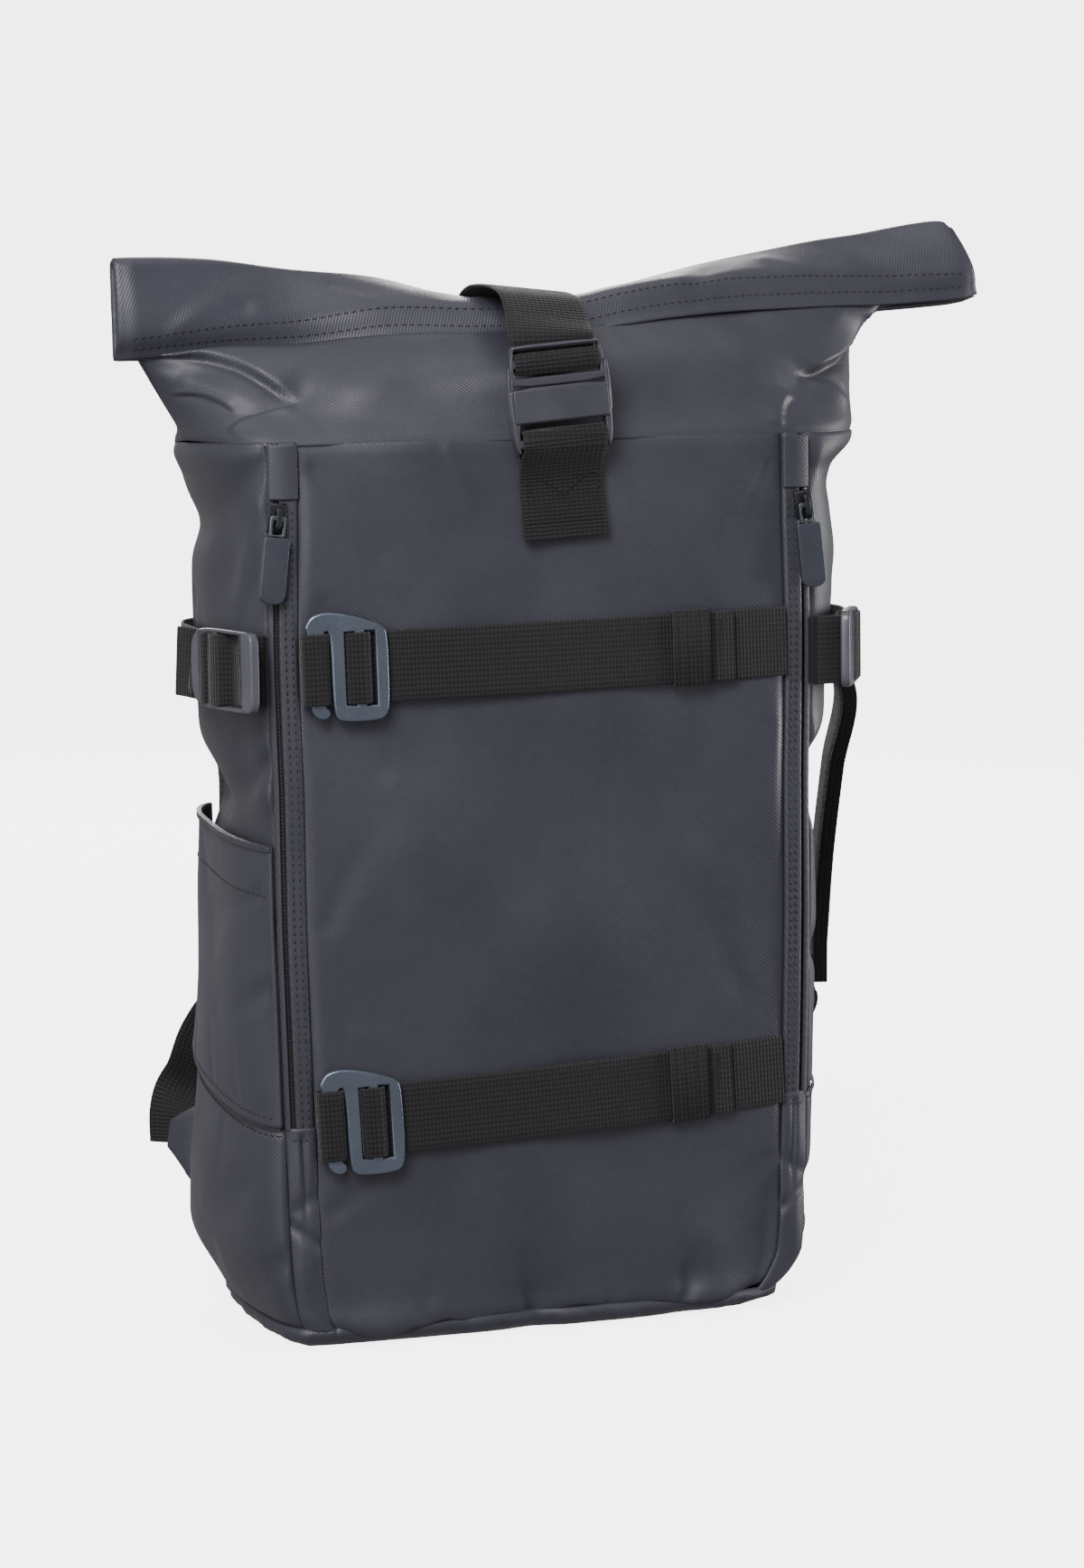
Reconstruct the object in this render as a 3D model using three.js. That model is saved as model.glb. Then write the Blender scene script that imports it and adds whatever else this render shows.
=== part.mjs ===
// Roll-top backpack standing on its base, closed and strapped. Millimetres, +Z up,
// front towards -Y, +X to the right of someone who faces the front. The origin is the centre of the base.
import * as THREE from 'three';

// The bag
const bodyHeight = 400;      // floor to the seam under the collar
const frontHalf = 113.5;      // half width of the front panel at its top seam
const sideHalf = 148;        // half width over the bulge of the sides
const backHalf = 124;        // half width of the back panel at its widest
const frontDepth = 72;       // origin to the front panel's edges
const backDepth = 68;        // origin to the back panel
const crownDepth = 7;        // forward bulge of the front panel
const wall = 1.8;            // coated cloth with its lining
const backPad = 9;           // padded back panel
const flapWidth = 8.5;       // cloth flap beside each zip
const zipWidth = 4.5;        // visible zip tape
const seamGap = 0.3;         // gap between pieces that touch
const baseRim = 8;           // height of the base tray's rim
const baseWall = 2.6;
const baseTuck = 9;          // how far the flat underside lies in from the rim
const cornerTuck = 3;      // and how many times more at the front right corner
const bootHeight = 100;      // boot seam at the front of the sides
const bootRise = 20;         // how much higher the boot seam is at the back
const dentDepth = 10;        // unit for the depth of the cloth's dents

// The collar and the roll
const collarHeight = 46;     // top seam to the underside of the roll, at the middle
const rollHalf = 204.5;       // half length of the rolled mouth
const rollShift = 24.5;       // the roll's middle, to the right of the bag's
const rollHeight = 42;       // height of the folded band
const rollThick = 13;        // over both legs of the fold
const rollWall = 2.6;        // two layers of cloth
const collarLeft = 172;      // where the collar's ears enter the roll
const collarRight = 180;
const earCurve = { left: 1.3, right: 4 }; // how late the ears flare out
const mouthThick = 7;        // the flattened mouth under the roll
const mouthBelow = 0.8;      // gap between the mouth and the roll

// Webbing and hardware
const webThick = 1.5;
const strapLift = 0.7;      // slack of the front webbing over the panel
const frontWeb = 31;         // width of the front and side webbing
const closureWeb = 38.5;     // width of the closing strap
const upperStrapZ = 304.5;   // middle of the upper front strap, at the bag's middle
const upperStrapSlope = 0.022;
const lowerStrapZ = 106.5;
const lowerStrapSlope = 0.046;
const hookFromSeam = 19;     // front panel's edge to the middle of a hook
const hookThick = 3;
const hemFromSeam = 27;      // front panel's right edge to the folded end of the strap
const keeperFromSeam = 48;   // front panel's right edge to the middle of the elastic keeper
const keeperWidth = 18;
const closureDrop = 43;      // top seam to the lower end of the sewn closing strap
const closureEndZ = bodyHeight - closureDrop;
const closureX = 7;          // middle of the sewn closing strap
const buckleRise = 61.5;     // that end to the middle of the closure buckle
const buckleZ = closureEndZ + buckleRise;
const buckleX = 3;
const buckleLean = 5;        // degrees
const buckleHalf = 23.2;     // half width of the closure buckle
const buckleThick = 6;
const sideStrapZ = 302;      // middle of the side straps
const sideBuckleLength = 50;
const sideBuckleHeight = 35.5;
const sideBuckleThick = 4;
const sideLift = 1.2;        // slack of the side webbing off the cloth
const sideSlack = 10;        // and how far it stands off behind the buckle
const sideFlare = { L: 1, R: 9 }; // degrees that each side buckle's rear end stands out
const sliderDrop = 32;       // top seam to the zip slider's middle
const sliderHeight = 13;
const sliderWidth = 8;
const pullLength = 29;       // rubber part of the zip pull
const pullWidth = 11.5;
const pullThick = 3.4;
const pullLink = 8;          // metal link above the rubber
const pullTilt = 6;          // degrees from upright, seen from the front
const garageHeight = 24;

// Pocket, shoulder straps, handle
const pocketHeight = 225;    // floor to the pocket's rim at the front
const pocketRise = 5;        // rim higher at the back
const pocketGape = 7;        // how far the rim stands off the side
const padWidth = 58;         // shoulder pads
const padThick = 9;
const lowerWeb = 25;         // webbing under the shoulder pads
const strapReach = 40;       // how far the shoulder straps stand off the back
const handleReach = 24;      // finger gap of the grab handle
const handleHalf = 42;
const handleWeb = 24;
const handleThick = 2.4;
const handleFoot = 10;       // sewn end of the handle, beyond its bend

const V = (x, y, z) => new THREE.Vector3(x, y, z);
const lerp = (a, b, t) => a + (b - a) * t;
const clamp01 = t => Math.min(1, Math.max(0, t));
const smooth = t => { const s = clamp01(t); return s * s * (3 - 2 * s); };
const bell = d => Math.exp(-d * d);

// A table lookup with a smooth curve through its rows; the first column is the one looked up.
function lookup(rows, x, column) {
  const last = rows.length - 1;
  if (x <= rows[0][0]) return rows[0][column];
  if (x >= rows[last][0]) return rows[last][column];
  let k = 0;
  while (rows[k + 1][0] < x) k++;
  const slope = j => {
    if (j === 0 || j === last) return 0;
    const before = (rows[j][column] - rows[j - 1][column]) / (rows[j][0] - rows[j - 1][0]);
    const after = (rows[j + 1][column] - rows[j][column]) / (rows[j + 1][0] - rows[j][0]);
    return before * after <= 0 ? 0 : 2 * before * after / (before + after);
  };
  const h = rows[k + 1][0] - rows[k][0], t = (x - rows[k][0]) / h, u = t * t * t, s = t * t;
  return (2 * u - 3 * s + 1) * rows[k][column] + (u - 2 * s + t) * h * slope(k)
    + (3 * s - 2 * u) * rows[k + 1][column] + (u - s) * h * slope(k + 1);
}

// The body's outline from the floor up. Each column after up is a share of its named size.
const bodyRows = [
  // up, front, left, right, back, fore, aft, crown
  [0.000, 0.86, 0.80, 0.72, 0.86, 0.97, 0.93, 0.15],
  [0.012, 0.885, 0.84, 0.77, 0.90, 0.99, 0.96, 0.20],
  [0.040, 0.93, 0.905, 0.865, 0.95, 1.00, 0.99, 0.40],
  [0.110, 0.955, 0.98, 0.905, 1.03, 1.00, 1.00, 0.70],
  [0.160, 0.96, 0.98, 0.915, 1.03, 1.00, 1.00, 0.80],
  [0.280, 0.97, 0.95, 0.93, 1.00, 1.00, 1.00, 0.90],
  [0.400, 0.98, 0.92, 0.925, 0.98, 1.00, 1.00, 1.00],
  [0.480, 0.985, 0.905, 0.935, 0.96, 1.00, 1.00, 1.00],
  [0.560, 0.985, 0.895, 0.92, 0.95, 1.00, 1.00, 1.00],
  [0.605, 0.985, 0.905, 0.905, 0.95, 1.00, 1.00, 1.00],
  [0.680, 0.99, 0.93, 0.985, 0.97, 1.00, 1.00, 1.00],
  [0.770, 0.995, 0.94, 1.01, 0.97, 1.00, 1.00, 0.90],
  [0.860, 0.99, 0.935, 1.05, 0.965, 1.00, 0.99, 0.80],
  [0.915, 0.985, 0.935, 1.03, 0.96, 1.00, 0.98, 0.70],
  [0.960, 0.985, 0.965, 1.01, 0.975, 1.00, 0.98, 0.60],
  [0.990, 0.985, 0.995, 1.11, 1.00, 1.00, 0.98, 0.50],
  [1.000, 0.985, 0.995, 1.13, 1.00, 1.00, 0.98, 0.50],
];

// Dents and folds of the body's cloth. across runs along the panel from 0 to 1 (left to right on the
// front, front to back on the sides); up and the radii are shares; depth is in dentDepths, inward positive.
const dents = [
  // part, across, up, radius across, radius up, depth
  ['sideR', 0.22, 0.602, 0.30, 0.030, 0.55],
  ['sideR', 0.20, 0.940, 0.30, 0.020, 0.50],
  ['sideR', 0.22, 0.410, 0.25, 0.015, 0.20],
  ['sideR', 0.22, 0.130, 0.25, 0.022, 0.60],
  ['sideL', 0.70, 0.603, 0.22, 0.030, 0.75],
  ['sideL', 0.70, 0.905, 0.30, 0.025, 0.40],
  ['sideL', 0.30, 0.860, 0.10, 0.070, 0.35],
  ['sideL', 0.25, 0.650, 0.12, 0.060, 0.25],
  ['front', 0.22, 0.680, 0.10, 0.060, 0.22],
  ['front', 0.80, 0.640, 0.10, 0.080, 0.20],
  ['front', 0.50, 0.480, 0.20, 0.100, -0.15],
  ['front', 0.45, 0.030, 0.05, 0.030, 0.35],
  ['front', 0.80, 0.040, 0.05, 0.030, 0.35],
  ['back', 0.50, 0.550, 0.12, 0.400, 0.30],
];

function sizesAt(z) {
  const up = z / bodyHeight;
  const at = column => lookup(bodyRows, up, column);
  return {
    front: frontHalf * at(1), left: sideHalf * at(2), right: sideHalf * at(3), back: backHalf * at(4),
    fore: frontDepth * at(5), aft: backDepth * at(6), crown: crownDepth * at(7),
  };
}

// Outer surface of the body at a height, before the dents. Parts follow each other anticlockwise seen
// from above: front, flapR, zipR, sideR, back, sideL, zipL, flapL. t runs from 0 to 1 along each.
const flapDrop = 1.2, zipDrop = 2.6;
function plainPoint(part, t, z) {
  const s = sizesAt(z);
  const hand = part.endsWith('L') ? -1 : 1;
  const edge = s.front + flapWidth, start = edge + zipWidth;
  if (part === 'front') {
    const a = 2 * t - 1;
    return V(a * s.front, -s.fore - s.crown * (1 - a * a), z);
  }
  if (part === 'back') {
    const a = 1 - 2 * t;
    return V(a * s.back, s.aft + 2 * (1 - a * a), z);
  }
  const k = hand > 0 ? t : 1 - t;
  if (part.startsWith('flap')) return V(hand * (s.front + k * flapWidth), -s.fore + k * flapDrop, z);
  if (part.startsWith('zip')) return V(hand * (edge + k * zipWidth), -s.fore + lerp(flapDrop, zipDrop, k), z);
  const wide = hand > 0 ? s.right : s.left;
  const pull = (wide - (start + s.back) / 8) * 4 / 3;
  const m = 1 - k, b0 = m * m * m, b1 = 3 * m * m * k, b2 = 3 * m * k * k, b3 = k * k * k;
  return V(hand * (b0 * start + (b1 + b2) * pull + b3 * s.back),
    b0 * (zipDrop - s.fore) + b1 * (0.18 * s.fore - s.fore) + b2 * (s.aft * 0.86) + b3 * s.aft, z);
}

function outward(part, t, z) {
  const e = 0.02, a = plainPoint(part, Math.max(0, t - e), z), b = plainPoint(part, Math.min(1, t + e), z);
  return V(b.y - a.y, a.x - b.x, 0).normalize();
}

function bodyPoint(part, t, z) {
  const p = plainPoint(part, t, z), n = outward(part, t, z);
  const across = part === 'sideL' ? 1 - t : t;
  let depth = 0;
  for (const [name, a, up, ra, ru, d] of dents) {
    if (name !== part) continue;
    const edge = smooth(Math.min(t, 1 - t) / 0.06);
    depth += d * dentDepth * edge * bell((across - a) / ra) * bell((z / bodyHeight - up) / ru);
  }
  return p.addScaledVector(n, -depth);
}

// A closed thin solid between two grids of points. Columns run to the right and rows up, seen from outside.
function shell(outer, inner) {
  const rows = outer.length, cols = outer[0].length, count = rows * cols, positions = [], index = [];
  for (const grid of [outer, inner]) for (const row of grid) for (const p of row) positions.push(p.x, p.y, p.z);
  const o = (r, c) => r * cols + c, i = (r, c) => count + r * cols + c;
  const quad = (a, b, c, d) => index.push(a, b, c, a, c, d);
  for (let r = 0; r < rows - 1; r++) for (let c = 0; c < cols - 1; c++) {
    quad(o(r, c), o(r, c + 1), o(r + 1, c + 1), o(r + 1, c));
    quad(i(r, c), i(r + 1, c), i(r + 1, c + 1), i(r, c + 1));
  }
  for (let c = 0; c < cols - 1; c++) {
    quad(o(0, c + 1), o(0, c), i(0, c), i(0, c + 1));
    quad(o(rows - 1, c), o(rows - 1, c + 1), i(rows - 1, c + 1), i(rows - 1, c));
  }
  for (let r = 0; r < rows - 1; r++) {
    quad(o(r, 0), o(r + 1, 0), i(r + 1, 0), i(r, 0));
    quad(o(r + 1, cols - 1), o(r, cols - 1), i(r, cols - 1), i(r + 1, cols - 1));
  }
  const g = new THREE.BufferGeometry();
  g.setAttribute('position', new THREE.Float32BufferAttribute(positions, 3));
  g.setIndex(index);
  g.computeVertexNormals();
  return g;
}

const looks = {
  cloth: [0x3d3f47, 0.5, 0], zip: [0x15161a, 0.6, 0], web: [0x1d1b1c, 0.85, 0], metal: [0x3c4652, 0.38, 0.8],
  plastic: [0x2d2f35, 0.5, 0], rubber: [0x3a3f48, 0.6, 0], elastic: [0x232126, 0.85, 0],
  pad: [0x2b2d33, 0.8, 0], tape: [0x1b1c20, 0.8, 0],
};
const bag = new THREE.Group();
function add(name, geometry, look, parent = bag) {
  const [color, roughness, metalness] = looks[look];
  const mesh = new THREE.Mesh(geometry, new THREE.MeshStandardMaterial({ color, roughness, metalness }));
  mesh.name = name;
  parent.add(mesh);
  return mesh;
}

// Averaged normals of a grid that may close round on itself.
function gridNormals(grid, closed) {
  const rows = grid.length, cols = grid[0].length;
  return grid.map((row, r) => row.map((p, c) => {
    const left = closed ? grid[r][(c + cols - 2) % (cols - 1)] : grid[r][Math.max(0, c - 1)];
    const right = closed ? grid[r][(c + 1) % (cols - 1)] : grid[r][Math.min(cols - 1, c + 1)];
    const a = left.clone().sub(p).negate(), b = right.clone().sub(p);
    if (a.lengthSq() > 1e-9) a.normalize();
    if (b.lengthSq() > 1e-9) b.normalize();
    const along = a.add(b);
    const rise = grid[Math.min(rows - 1, r + 1)][c].clone().sub(grid[Math.max(0, r - 1)][c]);
    return along.cross(rise).normalize();
  }));
}

// The body: one ring of columns, cut into panels at the seams.
const pieces = [['front', 12], ['flapR', 1], ['zipR', 1], ['sideR', 9], ['back', 8], ['sideL', 9],
  ['zipL', 1], ['flapL', 1]];
const columns = [];
const span = {};
for (const [part, count] of pieces) {
  span[part] = [columns.length, columns.length + count];
  for (let k = 0; k < count; k++) columns.push([part, k / count]);
}
columns.push(['front', 0]);

// The boot seam climbs along the sides, and the rows of cloth near it climb with it.
const rowShares = [0, 0.025, 0.07, 0.13, 0.19, 0.235, 0.30, 0.37, 0.44, 0.50, 0.545, 0.585, 0.62, 0.67,
  0.73, 0.79, 0.845, 0.885, 0.915, 0.945, 0.98, 1];
const bootRow = 5;
function climb(part, t) {
  if (part === 'back') return 1;
  if (!part.startsWith('side')) return 0;
  return smooth(part === 'sideR' ? t : 1 - t);
}
function rowHeight(row, part, t) {
  const share = rowShares[row], seam = rowShares[bootRow];
  const level = share <= seam ? lerp(baseRim, bootHeight, share / seam)
    : lerp(bootHeight, bodyHeight, (share - seam) / (1 - seam));
  const near = share <= seam ? share / seam : 1 - (share - seam) / (1 - seam);
  return level + bootRise * climb(part, t) * smooth(near);
}

const outerBody = rowShares.map((_, r) => columns.map(([part, t]) => bodyPoint(part, t, rowHeight(r, part, t))));
const bodyNormals = gridNormals(outerBody, true);
for (const r of [0, rowShares.length - 1]) for (const n of bodyNormals[r]) n.setZ(0).normalize();

// Cuts a panel out of the ring; its cut edges draw back by half a gap, and its inside lies a wall in.
function trimmed(rows, gap = seamGap) {
  const pull = (p, q, by) => p.clone().addScaledVector(q.clone().sub(p).normalize(), by);
  const wide = rows.map(row => {
    const out = row.map(p => p.clone()), last = out.length - 1;
    out[0] = pull(row[0], row[1], gap / 2);
    out[last] = pull(row[last], row[last - 1], gap / 2);
    return out;
  });
  const last = wide.length - 1;
  const bottom = wide[0].map((p, c) => pull(p, wide[1][c], gap / 2));
  const top = wide[last].map((p, c) => pull(p, wide[last - 1][c], gap / 2));
  wide[0] = bottom;
  wide[last] = top;
  return wide;
}
function cut(part, fromRow, toRow, depth, sink = 0) {
  const [a, b] = span[part], outer = [], inner = [];
  for (let r = fromRow; r <= toRow; r++) {
    const o = [], i = [];
    for (let c = a; c <= b; c++) {
      const p = outerBody[r][c], n = bodyNormals[r][c];
      o.push(p.clone().addScaledVector(n, -sink));
      i.push(p.clone().addScaledVector(n, -sink - depth));
    }
    outer.push(o);
    inner.push(i);
  }
  return shell(trimmed(outer), trimmed(inner));
}
const topRow = rowShares.length - 1;
add('front_panel', cut('front', 0, topRow, wall), 'cloth');
add('back_panel', cut('back', 0, topRow, backPad), 'pad');
for (const [hand, word] of [['L', 'left'], ['R', 'right']]) {
  add('side_' + word, cut('side' + hand, bootRow, topRow, wall), 'cloth');
  add('boot_' + word, cut('side' + hand, 0, bootRow, wall), 'cloth');
  add('zip_flap_' + word, cut('flap' + hand, 0, topRow, wall), 'cloth');
  add('zip_' + word, cut('zip' + hand, 0, topRow, wall - 0.6, 0.6), 'zip');
}

// The base: a tray whose rim meets the panels and whose underside is flat.
{
  const rim = outerBody[0].slice(0, -1), n = bodyNormals[0].slice(0, -1), ring = rim.length;
  const corner = span.zipR[0];
  const level = (z, inset) => rim.map((p, c) => V(p.x, p.y, z)
    .addScaledVector(n[c], -inset * (1 + cornerTuck * bell((c - corner) / 2.5) * smooth(1 - z / baseRim))));
  const rings = [
    level(baseRim - seamGap / 2, 0), level(baseRim * 0.45, 0.9), level(baseRim * 0.15, 3.6), level(0, baseTuck),
    level(baseWall, baseTuck + baseWall * 0.4), level(baseRim * 0.5, baseWall + 1.2), level(baseRim - seamGap / 2, baseWall),
  ];
  const positions = [], index = [];
  for (const r of rings) for (const p of r) positions.push(p.x, p.y, p.z);
  const at = (r, c) => r * ring + c % ring;
  for (let r = 0; r < rings.length - 1; r++) for (let c = 0; c < ring; c++) {
    index.push(at(r, c), at(r + 1, c + 1), at(r, c + 1), at(r, c), at(r + 1, c), at(r + 1, c + 1));
  }
  for (let c = 0; c < ring; c++) index.push(at(0, c), at(0, c + 1), at(rings.length - 1, c + 1),
    at(0, c), at(rings.length - 1, c + 1), at(rings.length - 1, c));
  // the flat floor of the tray, under and over
  const under = rings.length * ring, over = under + 1;
  positions.push(0, 0, 0, 0, 0, baseWall);
  const g = new THREE.BufferGeometry();
  const keep = [];
  for (let k = 0; k < index.length; k += 3) {
    const rowsOf = [index[k], index[k + 1], index[k + 2]].map(v => Math.floor(v / ring));
    if (!(rowsOf.includes(3) && rowsOf.includes(4))) keep.push(index[k], index[k + 1], index[k + 2]);
  }
  for (let c = 0; c < ring; c++) keep.push(under, at(3, c + 1), at(3, c), over, at(4, c), at(4, c + 1));
  g.setAttribute('position', new THREE.Float32BufferAttribute(positions, 3));
  g.setIndex(keep);
  g.computeVertexNormals();
  add('base', g, 'cloth');
}

// The roll: the mouth folded over once towards the front. Its band stands upright at the ends and lies
// back in the middle, where the closing strap holds it down.
const rollRows = [
  // along, ahead of the origin, above the top seam (of collarHeight), height, thickness, lean in degrees, skew
  [-1.00, 18, 0.80, 0.98, 0.85, 3, 0.00],
  [-0.96, 18, 0.80, 1.02, 1.00, 6, 0.00],
  [-0.80, 19, 0.83, 1.02, 0.95, 20, 0.00],
  [-0.62, 21, 0.86, 1.00, 0.85, 39, 0.00],
  [-0.40, 28, 0.94, 1.00, 0.75, 61, 0.00],
  [-0.22, 36, 0.99, 0.96, 0.60, 77, 0.00],
  [-0.05, 41, 1.03, 0.95, 0.52, 84, 0.00],
  [0.10, 41, 1.05, 0.95, 0.50, 86, 0.00],
  [0.22, 38, 1.08, 0.95, 0.56, 85, 0.00],
  [0.38, 32, 1.12, 0.95, 0.68, 78, 0.00],
  [0.52, 27, 1.16, 0.95, 0.80, 69, 0.00],
  [0.66, 22, 1.20, 0.95, 0.90, 56, 0.00],
  [0.80, 19, 1.23, 0.98, 0.96, 44, 0.05],
  [0.92, 18, 1.26, 0.95, 0.96, 32, 0.12],
  [0.97, 18, 1.29, 0.90, 0.90, 26, 0.16],
  [1.00, 18, 1.33, 0.78, 0.78, 24, 0.26],
];
function rollFrame(x) {
  const s = (x - rollShift) / rollHalf, at = column => lookup(rollRows, s, column);
  const lean = at(5) * Math.PI / 180;
  return {
    y: -at(1), z: bodyHeight + collarHeight * at(2), height: rollHeight * at(3), thick: rollThick * at(4), skew: at(6),
    up: V(0, Math.sin(lean), Math.cos(lean)), ahead: V(0, -Math.cos(lean), Math.sin(lean)),
  };
}
{
  const stations = 26, outer = [], inner = [], arc = 4, leg = 3;
  for (let k = 0; k <= stations; k++) {
    const s = -1 + 2 * k / stations, x = rollShift + rollHalf * s, f = rollFrame(x);
    const at = (d, h) => V(x - f.skew * h, f.y, f.z).addScaledVector(f.ahead, d).addScaledVector(f.up, h);
    const half = f.thick / 2, in_ = Math.max(half - rollWall, 0.25), topH = f.height - half, o = [], i = [];
    const ripple = h => 0.8 * Math.sin(9 * s + 5 * h / rollHeight);
    for (let j = 0; j <= leg; j++) {
      const h = topH * j / (leg + 0.5), w = ripple(h) * Math.sin(Math.PI * j / leg);
      o.push(at(f.thick + w, h));
      i.push(at(half + in_ + w, h));
    }
    for (let j = 0; j <= arc; j++) {
      const a = Math.PI * j / arc;
      o.push(at(half + half * Math.cos(a), topH + half * Math.sin(a)));
      i.push(at(half + in_ * Math.cos(a), topH + in_ * Math.sin(a)));
    }
    for (let j = leg; j >= 0; j--) {
      const h = topH * j / (leg + 0.5);
      o.push(at(0, h));
      i.push(at(half - in_, h));
    }
    outer.push(o);
    inner.push(i);
  }
  // rows run along the roll, so the grid is turned to keep the outside outside
  const turn = grid => grid[0].map((_, c) => grid.map(row => row[c]));
  add('roll_top', shell(turn(outer), turn(inner)), 'cloth');
}

// The collar: from the top seam to the flattened mouth under the roll. Each column keeps its share of the
// way round, so the front corners open out into the ears.
const topRing = outerBody[topRow];
function mouthPoint(share) {
  // share 0..1 from the left end along the front to the right end, 1..2 back along the back
  const along = share <= 1 ? share : 2 - share, side = share <= 1 ? -1 : 1;
  const x = lerp(-collarLeft, collarRight, along), f = rollFrame(x);
  const round = Math.sqrt(clamp01(1 - Math.pow(Math.abs(2 * along - 1), 6)));
  const y = f.y - mouthThick / 2 + side * mouthThick / 2 * round;
  return V(x, y, f.z - mouthBelow);
}
const wayRound = (() => {
  const way = [0];
  for (let c = 1; c < topRing.length; c++) way.push(way[c - 1] + topRing[c].distanceTo(topRing[c - 1]));
  return way;
})();
const middleOf = part => Math.round((span[part][0] + span[part][1]) / 2);
const rightMid = middleOf('sideR'), leftMid = middleOf('sideL'), total = wayRound[wayRound.length - 1];
function shareOf(c) {
  const start = wayRound[leftMid], d = (wayRound[c] - start + total) % total;
  const frontWay = (wayRound[rightMid] - start + total) % total;
  return d <= frontWay ? d / frontWay : 1 + (d - frontWay) / (total - frontWay);
}
const collarDents = [
  // side of the bag (-1 front, 1 back), across, up, radius across, radius up, depth
  [-1, 0.17, 0.35, 0.05, 0.35, 0.55],
  [-1, 0.27, 0.45, 0.05, 0.30, -0.25],
  [-1, 0.80, 0.45, 0.035, 0.30, 0.60],
  [-1, 0.73, 0.55, 0.05, 0.30, -0.25],
  [-1, 0.50, 0.55, 0.16, 0.40, -0.35],
  [1, 0.50, 0.50, 0.20, 0.40, -0.30],
];
function collarSheet(from, to, side) {
  const rows = 7, outer = [];
  for (let r = 0; r <= rows; r++) {
    const v = r / rows, row = [];
    for (let k = from; k <= to; k++) {
      const c = k % (topRing.length - 1), share = shareOf(c);
      const turn = share > 1.999 || (side > 0 && share < 0.001) ? 2 : share;
      const a = topRing[c], b = mouthPoint(turn), along = turn <= 1 ? turn : 2 - turn;
      const p = a.clone().lerp(b, v);
      const ear = Math.pow(Math.abs(2 * along - 1), 2), curve = along < 0.5 ? earCurve.left : earCurve.right;
      p.x = lerp(a.x, b.x, lerp(v, Math.pow(v, curve), ear));
      // the cloth stands up from the seam before it leans in
      const stand = Math.sin(Math.PI * v) * 0.22;
      p.y = lerp(p.y, a.y, stand);
      let depth = 0;
      for (const [s, u, up, ra, ru, d] of collarDents) {
        if (s === side) depth += d * dentDepth * bell((along - u) / ra) * bell((v - up) / ru) * Math.sin(Math.PI * v);
      }
      p.y -= side * depth * 0.8;
      p.z -= depth * 0.5;
      row.push(p);
    }
    outer.push(row);
  }
  return outer;
}
{
  const ringCols = topRing.length - 1;
  const sheets = [collarSheet(leftMid, ringCols + rightMid, -1), collarSheet(rightMid, leftMid, 1)];
  const joined = sheets[0].map((row, r) => [...row, ...sheets[1][r].slice(1)]);
  const normals = gridNormals(joined, true);
  for (const r of [0, joined.length - 1]) for (const n of normals[r]) n.setZ(0).normalize();
  const frontCount = sheets[0][0].length;
  const inside = joined.map((row, r) => row.map((p, c) => p.clone().addScaledVector(normals[r][c], -wall)));
  const part = (grid, a, b) => trimmed(grid.map(row => row.slice(a, b)), 5 * seamGap);
  add('collar_front', shell(part(joined, 0, frontCount), part(inside, 0, frontCount)), 'cloth');
  add('collar_back', shell(part(joined, frontCount - 1, joined[0].length),
    part(inside, frontCount - 1, joined[0].length)), 'cloth');
}

// A flat band along a path of { p, w }: p is the middle of its thickness, w the way its width points.
function band(path, width, thick) {
  const outer = [], inner = [];
  path.forEach((s, k) => {
    const a = path[Math.max(0, k - 1)].p, b = path[Math.min(path.length - 1, k + 1)].p;
    const w = s.w.clone().normalize(), n = w.clone().cross(b.clone().sub(a)).normalize();
    const here = width * (s.wide ?? 1) / 2, half = thick * (s.thick ?? 1) / 2;
    const side = (sign, off) => s.p.clone().addScaledVector(w, sign * here).addScaledVector(n, off);
    outer.push([side(-1, half), side(1, half)]);
    inner.push([side(-1, -half), side(1, -half)]);
  });
  return shell(outer, inner);
}
// The same with soft edges, for the shoulder pads.
function pad(path, width, thick) {
  const shares = [-1, -0.8, 0, 0.8, 1], full = [0.35, 0.9, 1, 0.9, 0.35], outer = [], inner = [];
  path.forEach((s, k) => {
    const a = path[Math.max(0, k - 1)].p, b = path[Math.min(path.length - 1, k + 1)].p;
    const w = s.w.clone().normalize(), n = w.clone().cross(b.clone().sub(a)).normalize();
    const at = sign => shares.map((q, j) => s.p.clone().addScaledVector(w, q * width * (s.wide ?? 1) / 2)
      .addScaledVector(n, sign * full[j] * thick * (s.thick ?? 1) / 2));
    outer.push(at(1));
    inner.push(at(-1));
  });
  return shell(outer, inner);
}
// Points of a half turn round a bar, from below it to above it, in a plane.
function halfTurn(from, to, bulge, steps = 4) {
  const mid = from.clone().add(to).multiplyScalar(0.5), arm = from.clone().sub(mid), out = [];
  const reach = bulge.clone().setLength(arm.length());
  for (let j = 1; j < steps; j++) {
    const a = Math.PI * j / steps;
    out.push(mid.clone().addScaledVector(arm, Math.cos(a)).addScaledVector(reach, Math.sin(a)));
  }
  return out;
}
function plate(shape, thick) {
  const g = new THREE.ExtrudeGeometry(shape, { depth: thick, bevelEnabled: false, curveSegments: 4 });
  g.translate(0, 0, -thick / 2);
  return g;
}
function slot(cx, cy, w, h) {
  const p = new THREE.Path();
  p.moveTo(cx - w / 2, cy - h / 2);
  p.lineTo(cx - w / 2, cy + h / 2);
  p.lineTo(cx + w / 2, cy + h / 2);
  p.lineTo(cx + w / 2, cy - h / 2);
  return p;
}

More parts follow.
